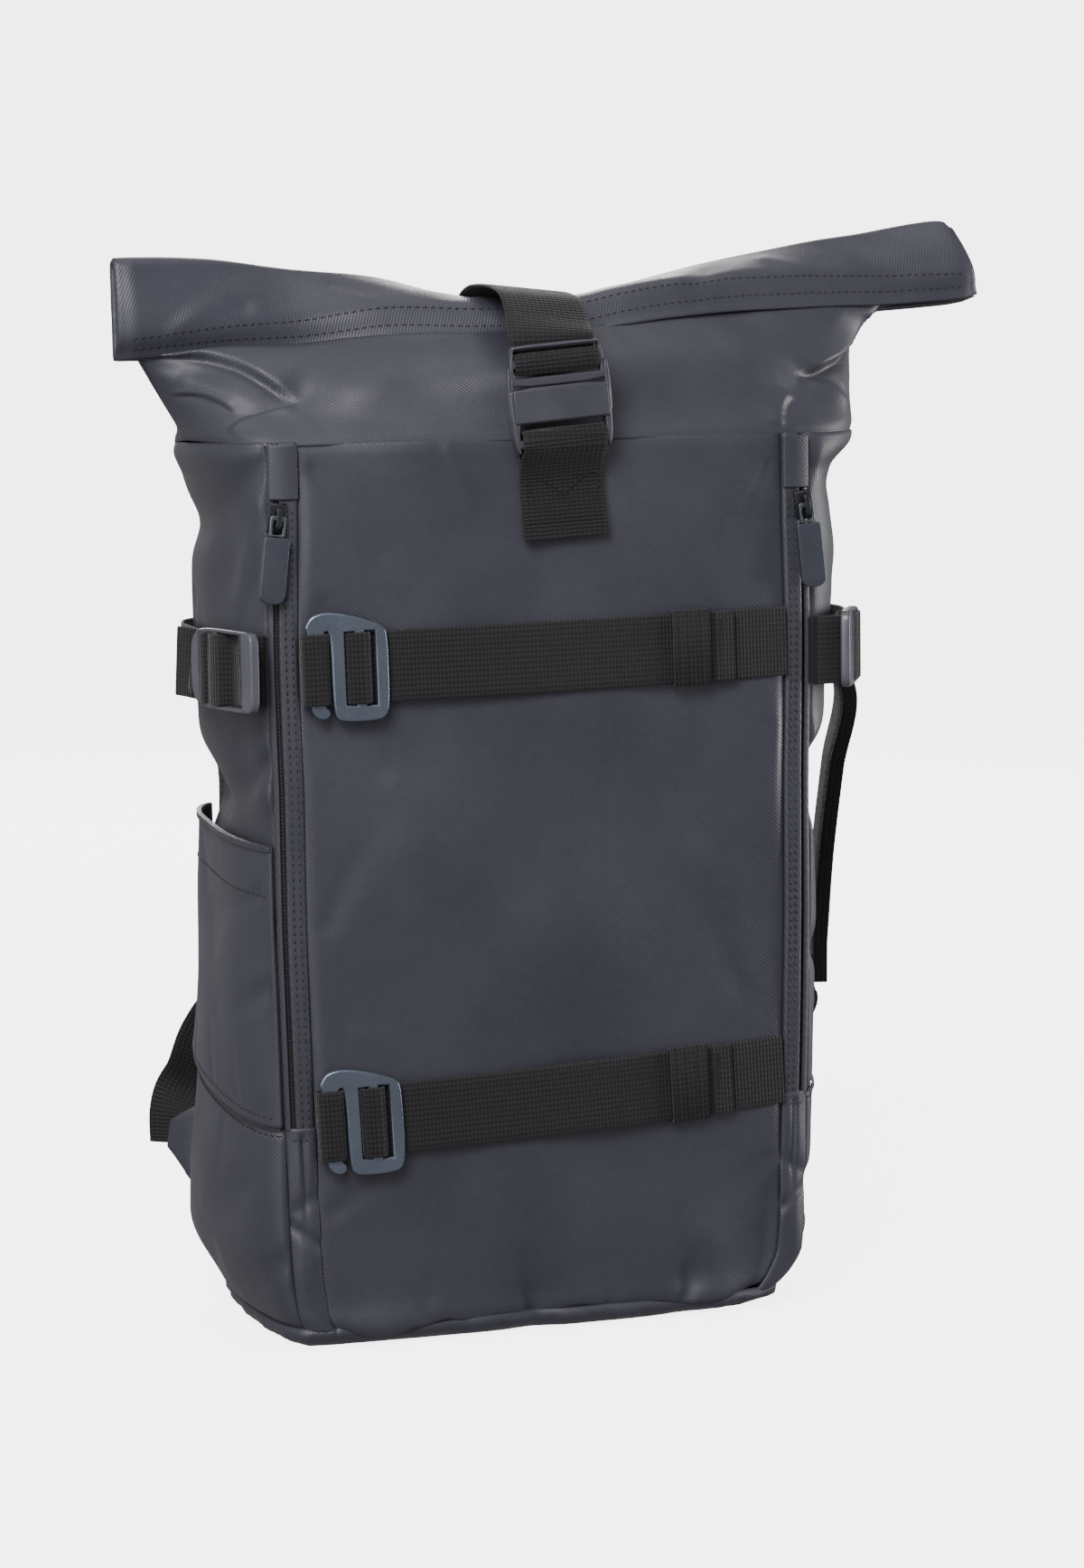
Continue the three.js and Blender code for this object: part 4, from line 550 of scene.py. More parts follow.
def creases(items, way, t, z):
    out = np.zeros(np.shape(t))
    for a0, z0, a1, z1, w, d in items:
        px, py = t * way, z
        ax, ay, bx, by = a0 * way, z0, a1 * way, z1
        L2 = (bx - ax) ** 2 + (by - ay) ** 2
        s = ((px - ax) * (bx - ax) + (py - ay) * (by - ay)) / L2
        sc = np.clip(s, 0, 1)
        bend = 0.12 * math.sqrt(L2) * sc * (1 - sc)
        nx, ny = -(by - ay) / math.sqrt(L2), (bx - ax) / math.sqrt(L2)
        dist = np.hypot(px - (ax + sc * (bx - ax) + nx * bend), py - (ay + sc * (by - ay) + ny * bend))
        w_here = w * (0.65 + 0.6 * sc)
        fade = 1 - 0.55 * sc
        out += d * fade * (bell(dist / w_here) - 0.32 * bell(dist / (2.2 * w_here)))
    return out


def ripples(x, y, amount, shift=0.0):
    h = np.zeros(np.shape(x))
    for ang, length, phase, amp in WAVES:
        h += amp * np.sin((x * math.cos(ang) + y * math.sin(ang)) * 6.283 / length + phase + shift)
    return amount * h


def body(part, t, z, detail=True):
    t, z = np.broadcast_arrays(np.asarray(t, float), np.asarray(z, float))
    p, n = plain(part, t, z), outward(part, t, z)
    across = 1 - t if part == "sideL" else t
    depth = np.zeros(t.shape)
    edge = ease(np.minimum(t, 1 - t) / 0.06)
    for name, a, upw, ra, ru, d in DENTS:
        if name == part:
            depth += d * edge * bell((across - a) / ra) * bell((z / bodyHeight - upw) / ru)
    if detail and part in FOLDS:
        way = WAY[part]
        d = creases(FOLDS[part], way, t, z)
        d += ripples(t * way, z, 0.9 if part == "front" else 0.4,
                     {"front": 0, "sideL": 2, "sideR": 4, "back": 1}[part])
        near = np.minimum(t, 1 - t) * way
        depth += d * ease(near / 8 + 0.25)
        depth += 0.8 * bell(near / 2.4)
    return p - n * depth[..., None]


def grid(u0, u1, nu, v0, v1, nv):
    return np.meshgrid(np.linspace(u0, u1, nu), np.linspace(v0, v1, nv))


def seam_z(part, t):
    k = ease(t if part == "sideR" else 1 - t)
    return 100 + 20 * k


def seam_dip(v, way, w=2.6, d=0.9):
    return d * (bell(v * way / w) + bell((1 - v) * way / w))


# Front panel: rounded lower corners, puckers along the bottom
T, Vv = grid(0, 1, 150, 0, 1, 240)
corner = 9 * (ease((0.09 - T) / 0.09) + ease((T - 0.91) / 0.09)) ** 1.5
zb = baseRim + seamGap / 2 + corner * 0.12 + 0.5 * np.sin(T * 37) * bell((T - 0.5) / 0.4)
zb = zb - 5.0 * bell((T - 0.085) / 0.06) + 1.6 * bell((T - 0.25) / 0.035) + 1.3 * bell((T - 0.55) / 0.05)
zb = zb + 2.5 * bell((T - 0.99) / 0.05) - 1.5 * bell((T - 0.88) / 0.06)
z = lerp(zb, bodyHeight - seamGap / 2, Vv)
P = body("front", T, z)
over = 2.6 * bell((z - 7) / 10) * (bell((T - 0.10) / 0.09) + 0.8 * bell((T - 0.85) / 0.08) + 0.45)
P = P + FORE * over[..., None]
N = normals_of(P)
P = P - N * seam_dip(Vv, 392)[..., None]
shell("front_cloth", P, wall, cloth, ["front_panel"])

# Sides and boots
for hand, word, sign in HANDS:
    part = "side" + hand
    T, Vv = grid(0.001, 0.999, 110, 0, 1, 190)
    P = body(part, T, lerp(seam_z(part, T) + 0.2, bodyHeight - 0.2, Vv))
    P = P - normals_of(P) * seam_dip(Vv, 290)[..., None]
    shell("side_cloth_" + word, P, wall, cloth_painted_shade, ["side_" + word])
    T, Vv = grid(0.001, 0.999, 110, 0, 1, 70)
    P = body(part, T, lerp(baseRim + 0.2, seam_z(part, T) - 0.2, Vv))
    P = P - normals_of(P) * seam_dip(Vv, 95, 3.0, 1.1)[..., None]
    shell("boot_cloth_" + word, P, wall, cloth, ["boot_" + word])
    # piping along the boot seam, with a row of thread below it
    t = np.linspace(0.01, 0.99, 150)
    z = seam_z(part, t) - 3.4
    stitches(body(part, t, z), outward(part, t, z), thread, lift=0.05)
    z = seam_z(part, t)
    line, n = body(part, t, z), outward(part, t, z)
    band("boot_piping_" + word, [(line[k] + n[k] * 0.35, UP) for k in range(0, 150, 3)], 1.5, 1.3, piping,
         soft=0.5)

# Zip flaps: a folded strip of cloth with two rows of thread; the zip runs beside it, down to the boot seam.
# Below that seam a plain gusset takes the place of both.
zipEnd = 99


def gusset(hand, u, z):
    """A point between the panel's edge, u = 0, and the side cloth, u = 1."""
    flat = lambda part, k: plain(part + hand, k if hand == "R" else 1 - k, z)
    a, b = flat("flap", np.clip(u / 0.65, 0, 1)), flat("zip", np.clip((u - 0.65) / 0.35, 0, 1))
    return np.where((u < 0.65)[..., None], a, b)


for hand, word, sign in HANDS:
    T, Vv = grid(0.02, 0.98, 14, 0, 1, 260)
    z = lerp(zipEnd, bodyHeight - 0.3, Vv)
    P = plain("flap" + hand, T, z)
    k = mirrored(sign, T)
    lift = 0.9 * ease(k / 0.2) * (1 - 0.2 * ease((k - 0.85) / 0.15)) - 0.5 * bell(k / 0.12)
    P = P + FORE * (lift + 0.25 * np.sin(z / 17.0) * k)[..., None]
    shell("zip_flap_cloth_" + word, P, 1.9, cloth_painted_shade, ["zip_flap_" + word], bulge=0.45)
    z = np.linspace(zipEnd + 1, bodyHeight - 26, 300)
    for share in (0.34, 0.68):
        Q = plain("flap" + hand, np.full(300, mirrored(sign, share)), z) + A3(0, -0.95, 0)
        stitches(Q, FORE, thread, lift=0.0)
    U, Vv = grid(0.02, 0.98, 26, 0, 1, 120)
    u = mirrored(sign, U)
    z = lerp(baseRim + 0.5, zipEnd + 0.8, Vv)
    bulge = (1.5 * np.sin(math.pi * np.clip(u, 0, 1)) ** 0.6 - 1.2 * bell((z - 47 - 10 * u) / 3.5)
             - 0.8 * bell((z - 70 + 8 * u) / 4))
    bulge += 0.35 * np.sin(z / 6.5 + 3 * u)
    bulge -= 1.2 * bell((u - 0.45) / 0.1) * ease((z - 50) / 30) * ease((zipEnd - z) / 4)
    shell("gusset_cloth_" + word, gusset(hand, u, z) + FORE * bulge[..., None], 1.6, cloth, bulge=0.45)
    uu = np.linspace(0.05, 0.95, 20)
    q = gusset(hand, uu, np.full(20, zipEnd - 4.0)) + FORE * (1.5 * np.sin(math.pi * uu) ** 0.6)[:, None]
    stitches(q, FORE, thread, pitch=2.6, length=1.8, r=0.3, lift=0.1)
    T, Vv = grid(0.02, 0.98, 8, 0, 1, 480)
    z = lerp(zipEnd, bodyHeight - 0.3, Vv)
    k = mirrored(sign, T)
    P = plain("zip" + hand, T, z)
    P = P + A3(0, 1, 0) * (1.3 + 0.25 * np.sin(z * 6.283 / 1.6) * bell((k - 0.25) / 0.3))[..., None]
    shell("zip_tape_" + word, P, 0.9, tape, ["zip_" + word])
    T, Vv = grid(0, 1, 14, 0, 1, 240)
    z = lerp(zipEnd, bodyHeight - 0.3, Vv)
    k = mirrored(sign, T)
    P = plain("zip" + hand, mirrored(sign, lerp(0.42, 1.0, k)), z)
    P = P + FORE * (0.9 * ease(k / 0.25) - 0.5 * ease((k - 0.6) / 0.4) + 0.2 * np.sin(z / 21.0))[..., None]
    shell("zip_welt_" + word, P, 1.6, cloth_painted_shade, bulge=0.45)

# Base tray
ring_parts = [("front", 90), ("flapR", 4), ("zipR", 3), ("sideR", 70), ("back", 60), ("sideL", 70),
              ("zipL", 3), ("flapL", 4)]
cols = [(p, k / n) for p, n in ring_parts for k in range(n)]
rim = np.array([body(p, t, baseRim, False) for p, t in cols])
nx = np.roll(rim, -1, 0) - np.roll(rim, 1, 0)
nrm = unit(np.stack([nx[:, 1], -nx[:, 0], np.zeros(len(rim))], 1))
for _ in range(3):
    nrm = unit(nrm + np.roll(nrm, 1, 0) + np.roll(nrm, -1, 0))
where = np.arange(len(rim))
right_corner = 96
tuck = 1 + 3 * bell((where - right_corner) / 14)
levels = [(9.4, 1.6), (9.9, 0.4), (9.3, -0.9), (7.4, -1.7), (5.4, -1.3), (3.6, 0.0), (1.9, 2.2), (0.8, 4.6),
          (0.2, 6.8), (0.0, 9.0), (0.0, 14), (0.0, 24)]
rows = []
for zz, inset in levels:
    k = inset * (1 + (tuck - 1) * ease(1 - zz / baseRim))
    puckers = (0.5 * np.sin(where * 0.61) + 0.3 * np.sin(where * 1.7 + 1)) * bell((zz - 4) / 3)
    q = rim - nrm * (k + puckers)[:, None]
    q[:, 2] = zz
    rows.append(np.concatenate([q, q[:1]]))
rows.append(rows[-1] * A3(0.02, 0.02, 1))
P = np.array(rows)[::-1]
N = normals_of(P)
N[(P[..., 2] < 6) & (N[..., 2] > 0)] *= -1
N[P[..., 2] < 0.5] = A3(0, 0, -1)
shell("base_cloth", P, 2.4, cloth, ["base"], N=N)
fr = [k for k, (p, t) in enumerate(cols) if p == "front"]
stitches(rim[fr] - nrm[fr] * -0.55 + A3(0, 0, -2.4), nrm[fr], thread, lift=0.05)

# Back panel: padded mesh with two channels
T, Vv = grid(0.003, 0.997, 90, 0, 1, 150)
z = lerp(baseRim + 0.3, bodyHeight - 0.3, Vv)
P = body("back", T, z)
x = P[..., 0]
channel = 3.0 * bell((np.abs(x) - 34) / 5) + 1.2 * bell((z - 210) / 6) * (np.abs(x) > 34)
P = P - normals_of(P) * (channel + seam_dip(Vv, 392, 5, 1.6))[..., None]
back = shell("back_padding", P, 8.5, mesh_cloth, ["back_panel"])

# Roll
collarHeight, rollHalf, rollShift, rollHeight, rollThick, rollWall = 46, 204.5, 24.5, 42, 13, 2.6
ROLL = np.array([
    # along, ahead of the origin, above the top seam, height, thickness, lean, skew
    [-1.00, 18, 0.80, 1.05, 0.80, 3, 0.00], [-0.96, 18, 0.80, 1.05, 1.00, 6, 0.00],
    [-0.80, 19, 0.83, 1.02, 0.95, 20, 0.00], [-0.62, 21, 0.86, 1.00, 0.85, 39, 0.00],
    [-0.40, 28, 0.94, 1.00, 1.00, 61, 0.00], [-0.22, 36, 0.99, 0.96, 0.82, 77, 0.00],
    [-0.05, 41, 1.03, 0.95, 0.72, 84, 0.00], [0.04, 41, 1.04, 0.95, 0.86, 85, 0.00],
    [0.12, 41, 1.05, 0.95, 1.08, 84, 0.00], [0.22, 38, 1.08, 0.95, 1.20, 80, 0.00],
    [0.38, 32, 1.12, 0.97, 1.28, 71, 0.00],
    [0.52, 27, 1.16, 0.97, 1.20, 62, 0.00], [0.66, 22, 1.20, 0.97, 1.08, 52, 0.00],
    [0.80, 19, 1.23, 0.98, 0.96, 44, 0.05], [0.92, 18, 1.26, 0.95, 0.96, 32, 0.12],
    [0.97, 18, 1.29, 0.90, 0.90, 26, 0.16], [1.00, 18, 1.33, 0.78, 0.78, 24, 0.26]])


def roll_frame(x):
    s = (np.asarray(x, float) - rollShift) / rollHalf
    at = lambda c: lookup(ROLL, s, c)
    lean = np.radians(at(5))
    zero = np.zeros_like(lean)
    return dict(y=-at(1), z=bodyHeight + collarHeight * at(2), height=rollHeight * at(3),
                thick=rollThick * at(4), skew=at(6), up=np.stack([zero, np.sin(lean), np.cos(lean)], -1),
                ahead=np.stack([zero, -np.cos(lean), np.sin(lean)], -1))


def roll_at(x, d, h):
    f = roll_frame(x)
    hang = 8.5 * f["ahead"][..., 2] ** 2 * bell(np.asarray(h) / 5.5)
    hang = hang * lerp(0.4, 1, ease(np.asarray(d) / f["thick"]))
    p = np.stack([x - f["skew"] * h, f["y"], f["z"]], -1)
    p = p + f["ahead"] * np.asarray(d)[..., None] + f["up"] * np.asarray(h)[..., None]
    return p + hang[..., None] * A3(0, -0.1, -1)


s = np.linspace(-1, 1, 240)
x = rollShift + rollHalf * s
f = roll_frame(x)
half, topH = f["thick"] / 2, f["height"] - f["thick"] / 2
outer, inner, leg, arc = [], [], 22, 12
ROLL_FOLDS = [(-0.72, 16, -0.86, 34, 7, 1.8), (-0.50, 30, -0.36, 6, 8, 1.6), (-0.88, 8, -0.72, 24, 6, -1.2),
              (0.30, 6, 0.42, 30, 9, 1.5), (0.66, 30, 0.80, 8, 8, 1.7), (0.50, 24, 0.58, 4, 7, -1.2),
              (-0.2, 28, -0.3, 8, 8, 1.0)]


def roll_relief(s, h):
    return -(creases(ROLL_FOLDS, rollHalf, s, h) + ripples(s * rollHalf, h * 2.0, 0.3, 1.0))


def swell(j):
    return np.sin(math.pi * (j + 1.5) / (leg + 3))


def roll_face(h):
    belly = 2.6 * np.sin(math.pi * np.clip((h + 2) / (topH + 2), 0, 1))
    return belly - 5.2 * bell(h / 5.5) + 0.3 * bell((h - 5.6) / 1.6)


for j in range(leg + 1):
    h = topH * j / leg
    w = roll_relief(s, h) * swell(j) + roll_face(h)
    outer.append(roll_at(x, f["thick"] + w, h))
    inner.append(roll_at(x, np.maximum(f["thick"] + w + 0.3 - rollWall, half + 0.2), h))
for j in range(1, arc):
    a = math.pi * j / arc
    hollow = np.maximum(half - rollWall, 0.25)
    outer.append(roll_at(x, half + half * math.cos(a), topH + half * math.sin(a)))
    inner.append(roll_at(x, half + hollow * math.cos(a), topH + hollow * math.sin(a)))
for j in range(leg, -1, -1):
    h = topH * j / leg
    w = 0.6 * roll_relief(s + 0.3, h) * swell(j)
    outer.append(roll_at(x, -w, h))
    inner.append(roll_at(x, np.minimum(rollWall - w, half - 0.2), h))
skin("roll_cloth", np.array(outer), np.array(inner), cloth_painted_light, ["roll_top"], reach=0.8)
for h in (3.6, 7.6):
    line = roll_at(x, f["thick"] + roll_face(h) + roll_relief(s, h) * swell(h * leg / topH), np.full(240, h))
    stitches(line[3:-3], f["ahead"][3:-3], thread, pitch=3.6, lift=0.1)

# Collar: from the top seam to the flattened mouth under the roll
collarLeft, collarRight, collarWay, collarTall, EAR = 172, 188, 330, 60, (1.0, 5.5)
COLLAR_DENTS = [
    # side, along, up, radius along, radius up, depth in mm
    (-1, 0.17, 0.35, 0.05, 0.35, 5.5), (-1, 0.27, 0.45, 0.05, 0.30, -2.5), (-1, 0.80, 0.45, 0.035, 0.30, 6.0),
    (-1, 0.73, 0.55, 0.05, 0.30, -2.5), (-1, 0.50, 0.62, 0.20, 0.40, -7.5), (1, 0.50, 0.50, 0.20, 0.40, -3.0)]
COLLAR_FOLDS = [
    # share along, height share x 60, the same at the other end, half width, depth in mm
    (0.02, 52, 0.28, 18, 7, 3.2), (0.05, 40, 0.24, 8, 6, -2.0), (0.12, 20, 0.30, 8, 6, 2.2),
    (0.20, 12, 0.16, 44, 6, -1.8), (0.34, 56, 0.31, 22, 8, 1.8), (0.42, 54, 0.40, 20, 9, -1.4),
    (0.55, 52, 0.56, 18, 9, 1.2), (0.98, 52, 0.78, 16, 6, 3.8), (0.99, 34, 0.80, 14, 6, -2.2),
    (0.90, 54, 0.76, 30, 6, -2.0), (0.76, 6, 0.74, 30, 4, 2.2), (0.70, 48, 0.72, 16, 8, 1.8),
    (0.64, 52, 0.66, 30, 8, -1.0), (0.86, 8, 0.93, 26, 5, 1.6)]
COLLAR_LEDGES = [
    # overlapping folds: both ends as above, how far the upper side stands out, how far that reaches, side
    (0.015, 58, 0.190, 26, 4.2, 20, 1), (0.110, 9, 0.190, 25, 2.4, 9, -1), (0.995, 58, 0.800, 30, 5.0, 22, -1),
    (0.800, 29, 0.875, 12, 2.6, 11, -1), (0.030, 32, 0.120, 18, 2.0, 8, 1), (0.740, 2, 0.770, 18, 2.0, 9, 1)]


def ledges(x, y, way):
    out = np.zeros(np.shape(x))
    for a0, z0, a1, z1, high, reach, side in COLLAR_LEDGES:
        ax, bx = a0 * way, a1 * way
        L = math.hypot(bx - ax, z1 - z0)
        tx, ty = (bx - ax) / L, (z1 - z0) / L
        s = ((x - ax) * tx + (y - z0) * ty) / L
        arch = 0.10 * L * np.clip(s, 0, 1) * (1 - np.clip(s, 0, 1)) * 4 * side
        off = side * ((y - z0) * tx - (x - ax) * ty) - arch
        along = ease((s + 0.05) / 0.12) * ease((1.05 - s) / 0.22)
        above = np.exp(-np.maximum(off, 0) / reach) * ease(off / 2.2)
        out += high * along * np.where(off > 0, above, -0.28 * bell(off / 3.5))
    return out


def mouth(share):
    share = np.asarray(share, float)
    along = np.where(share <= 1, share, 2 - share)
    side = np.where(share <= 1, -1, 1)
    x = lerp(-collarLeft, collarRight, along)
    f = roll_frame(x)
    rnd = np.sqrt(np.clip(1 - np.abs(2 * along - 1) ** 6, 0, 1))
    low = np.minimum(f["thick"], 12) / 2
    return roll_at(x, low - side * np.maximum(low - 2.9, 0.4) * rnd, np.full(x.shape, 2.0)) - A3(0, 0, 0.4)


def collar(side):
    m = 5 / 9
    order = ([("sideL", m, 1, 30), ("zipL", 0, 1, 3), ("flapL", 0, 1, 4), ("front", 0, 1, 130),
              ("flapR", 0, 1, 4), ("zipR", 0, 1, 3), ("sideR", 0, m, 30)] if side < 0 else
             [("sideR", m, 1, 30), ("back", 0, 1, 100), ("sideL", 0, m, 30)])
    ring = np.concatenate([plain(p, np.linspace(a, b, n + 1)[(0 if k == 0 else 1):], bodyHeight)
                           for k, (p, a, b, n) in enumerate(order)])
    d = run(ring)
    share = d / d[-1] + (0 if side < 0 else 1)
    along = np.where(share <= 1, share, 2 - share)
    mo = mouth(share)
    rows = []
    for v in np.linspace(0.006, 0.995, 64):
        p = ring + (mo - ring) * v
        ear = np.abs(2 * along - 1) ** 2
        curve = np.where(along < 0.5, EAR[0], EAR[1])
        p[:, 0] = ring[:, 0] + (mo[:, 0] - ring[:, 0]) * lerp(v, v ** curve, ear)
        p[:, 1] = lerp(p[:, 1], ring[:, 1], math.sin(math.pi * v) * 0.22)
        depth = np.zeros(len(along))
        for sd, u, upw, ra, ru, dd in COLLAR_DENTS:
            if sd == side:
                depth += dd * bell((along - u) / ra) * bell((v - upw) / ru) * math.sin(math.pi * v)
        p[:, 1] -= side * depth * 0.8
        p[:, 2] -= depth * 0.5
        rows.append(p)
    P = np.array(rows)
    N = normals_of(P)
    V2, A2 = np.meshgrid(np.linspace(0, 1, 64), along, indexing="ij")
    d = ripples(A2 * collarWay, V2 * collarTall, 0.25, 3.0 + side)
    if side < 0:
        d += 0.30 * creases(COLLAR_FOLDS, collarWay, A2, V2 * collarTall)
        d -= ledges(A2 * collarWay, V2 * collarTall, collarWay)
    fade = ease(V2 / 0.10) * ease((1 - V2) / 0.06)
    tip = ease(np.minimum(A2, 1 - A2) / 0.03)
    d = d * fade * tip + 1.1 * bell(V2 * collarTall / 2.4)
    return P - N * d[..., None]


shell("collar_cloth_front", collar(-1), wall, cloth, ["collar_front"])
shell("collar_cloth_back", collar(1), wall, cloth_painted_shade, ["collar_back"])

# Webbing, hooks and buckles
webThick, strapLift, frontWeb, closureWeb = 1.5, 0.7, 31, 38.5
hookFromSeam, hookThick, hemFromSeam, keeperFromSeam, keeperWidth = 19, 3, 27, 48, 18
stand1 = seamGap + strapLift + webThick / 2
stand2 = stand1 + webThick + seamGap
hookStand = stand2 + webThick / 2 + seamGap + hookThick / 2
overBar = hookStand + hookThick / 2 + seamGap + webThick / 2


def front_edge(z):
    return float(sizes(z)[0])


def on_front(x, z, off):
    t = np.clip((x / front_edge(z) + 1) / 2, 0, 1)
    p = body("front", t, z, False)
    return A3(x, p[1] - off, z)


def half_turn(a, b, bulge, steps=6):
    a, b = np.asarray(a, float), np.asarray(b, float)
    mid, arm = (a + b) / 2, (a - b) / 2
    reach = unit(np.asarray(bulge, float)) * np.linalg.norm(arm)
    turns = (math.pi * j / steps for j in range(1, steps))
    return [mid + arm * math.cos(a) + reach * math.sin(a) for a in turns]


def curve_plate(name, outline, holes, thick, bevel, M, mat, nodes, round_=1):
    """A plate from its outline in millimetres, with rounded edges. M places it, in millimetres."""
    cu = bpy.data.curves.new(name, "CURVE")
    cu.dimensions, cu.fill_mode = "2D", "BOTH"
    cu.extrude, cu.bevel_depth, cu.bevel_resolution = (thick / 2 - bevel) * MM, bevel * MM, 3
    cu.offset = -bevel * MM
    for pts, times in [(outline, round_)] + [(h, 0) for h in holes]:
        q = np.array(pts, float)
        for _ in range(times):
            nxt = np.roll(q, -1, 0)
            q = np.stack([q * 0.78 + nxt * 0.22, q * 0.22 + nxt * 0.78], 1).reshape(-1, 2)
        sp = cu.splines.new("POLY")
        sp.points.add(len(q) - 1)
        for k, (a, b) in enumerate(q):
            sp.points[k].co = (a * MM, b * MM, 0, 1)
        sp.use_cyclic_u = True
    tmp = add(name + "_curve", cu)
    bpy.context.view_layer.update()
    me = bpy.data.meshes.new_from_object(tmp.evaluated_get(bpy.context.evaluated_depsgraph_get()))
    bpy.data.objects.remove(tmp)
    Q = M.copy()
    Q.translation = Q.translation * MM
    me.transform(Q)
    me.materials.clear()
    me.name = name
    return settle(name, me, mat, "bag", nodes, 40)


def basis(a, b, c, at):
    return Matrix((*[(a[k], b[k], c[k], at[k]) for k in range(3)], (0, 0, 0, 1)))


def hole(cx, cy, w, h):
    return [(cx + a * w / 2, cy + b * h / 2) for a, b in ((-1, -1), (-1, 1), (1, 1), (1, -1))]


HOOK = dict(width=37, limb=(1.8, 8.4), mid=(11.8, 18), bar=(22.4, 26.8), right=31.4)
HOOK_OUT = [(11.8, -19), (15, -23.2), (33, -23.2), (37, -19), (37, 15), (34.5, 18.6), (26, 21.8),
            (17, 24.2), (9, 25), (3.4, 23.4), (0.4, 18.6), (1.8, 16.2), (1.8, -16.2), (4, -20.6), (8, -22),
            (10.6, -20.4), (10.6, -17.6), (8.4, -16.2), (8.4, 16.2), (11.8, 16.8)]


def box_stitch(p0, along, across, normal, w, h):
    """A sewn box with its diagonals."""
    c = [p0 - along * h / 2 - across * w / 2, p0 - along * h / 2 + across * w / 2,
         p0 + along * h / 2 + across * w / 2, p0 + along * h / 2 - across * w / 2]
    for a, b in ((0, 1), (1, 2), (2, 3), (3, 0), (0, 2), (1, 3)):
        q = np.linspace(c[a], c[b], 12)
        stitches(q, normal, thread_dark, pitch=2.6, length=1.9, r=0.3)


def front_strap(word, zMid, slope):
    edge, w = front_edge(zMid), A3(-slope, 0, 1)
    (b0, b1), rt, wd = HOOK["bar"], HOOK["right"], HOOK["width"]
    z_at = lambda x: zMid + slope * x
    lay = lambda x, off: (on_front(x, z_at(x), off), w)
    left = -edge + hookFromSeam - wd / 2
    hook_at = lay(left + wd / 2, hookStand)[0]
    face = math.atan2(on_front(left + wd, zMid, 0)[1] - on_front(left, zMid, 0)[1], wd)
    along = unit(A3(math.cos(face), math.sin(face), slope))
    off = A3(math.sin(face), -math.cos(face), 0)
    near = lambda x, stand: hook_at + along * (x - wd / 2) + off * (stand - hookStand)
    path = [lay(x, stand1) for x in np.linspace(edge - 0.5, left + wd + 6, 24)]
    path += [(near(rt + 3, stand1), w), (near(b0 + 0.2, stand1), w)]
    path += [(p, w) for p in half_turn(near(b0 + 0.2, stand1), near(b0 + 0.2, overBar), -along)]
    path += [(near(a, b), w) for a, b in ((b0 + 0.5, overBar), (b1 + 0.1, overBar), (b1 + 1.6, overBar - 0.9),
                                        (b1 + 2.2, hookStand), (b1 + 2.6, stand2 + 0.7), (rt + 0.2, stand2),
                                        (wd + 1, stand2))]
    hem = edge - hemFromSeam
    path += [lay(x, stand2 + (0.25 if x > hem - 10 else 0)) for x in np.linspace(left + wd + 6, hem, 22)]
    band("front_webbing_" + word, path, frontWeb, webThick, webbing, ["front_strap_" + word])
    # the folded hem at the strap's end, a second layer with its row of thread
    hem_path = [lay(x, stand2 + webThick * 0.9) for x in np.linspace(hem - 9.5, hem - 0.2, 6)]
    band("front_hem_" + word, hem_path, frontWeb - 0.3, 0.8, webbing)
    q = np.array([on_front(hem - 6.5, z_at(hem - 6.5) + v, stand2 + webThick * 0.9 + 0.4)
                  for v in np.linspace(-14, 14, 20)])
    stitches(q, FORE, thread_dark, pitch=2.4, length=1.7, r=0.3)
    curve_plate("hook_body_" + word, [(a - wd / 2, b) for a, b in HOOK_OUT],
                [hole((HOOK["mid"][1] + b0) / 2 - wd / 2, 0, b0 - HOOK["mid"][1], frontWeb + 0.8),
                 hole((b1 + rt) / 2 - wd / 2, 0, rt - b1, frontWeb + 1.4)],
                hookThick + 0.5, 1.0,
                basis(along, unit(np.cross(off, along)), off, hook_at), hook_metal, ["hook_" + word], round_=2)
    lb = HOOK["limb"]
    low, high, turn = hookStand - hookThick / 2 - seamGap - webThick / 2, overBar, lb[1] - 0.4
    start = -edge + 0.4
    loop = [lay(start, stand1), (near(lb[0], stand1 + 0.6), w), (near(turn, low), w)]
    loop += [(p, w) for p in half_turn(near(turn, low), near(turn, high), along)]
    loop += [(near(turn - 0.2, high), w), (near(lb[0] - 0.1, high), w),
             (near(lb[0] - 1.3, lerp(high, stand2, 0.22)), w), lay(start, stand2 + 0.6)]
    band("hook_loop_webbing_" + word, loop, frontWeb, webThick, webbing, ["hook_loop_" + word])
    # elastic keeper
    kx = edge - keeperFromSeam
    kz, inH, inTop, th = z_at(kx), frontWeb / 2 + seamGap, stand2 + webThick / 2 + seamGap, 1.0
    sec = [(-inH - th, 0.9), (-inH, 0.9), (-inH, inTop), (inH, inTop), (inH, 0.9), (inH + th, 0.9),
           (inH + th, inTop + th * 0.45), (inH + th * 0.45, inTop + th), (-inH - th * 0.45, inTop + th),
           (-inH - th, inTop + th * 0.45)]
    xs = np.linspace(-keeperWidth / 2, keeperWidth / 2, 25)
    V, F, U = [], [], []
    for i, dx in enumerate(xs):
        base_y = on_front(kx + dx, kz, 0)[1]
        ribh = 0.22 * math.cos(i * math.pi)
        for h, o in sec:
            o2 = o + (ribh if o > inTop + 0.01 else 0)
            V.append(A3(kx + dx - slope * h, base_y - o2, kz + h + slope * dx))
            U.append((h, dx))
    m = len(sec)
    for i in range(len(xs) - 1):
        for j in range(m):
            F.append((i * m + j, i * m + (j + 1) % m, (i + 1) * m + (j + 1) % m, (i + 1) * m + j))
    F += [tuple(range(m))[::-1], tuple(range((len(xs) - 1) * m, len(xs) * m))]
    piece("keeper_elastic_" + word, V, F, elastic, U, ["keeper_" + word], sharp=50)


front_strap("upper", 304.5, 0.022)
front_strap("lower", 106.5, 0.046)

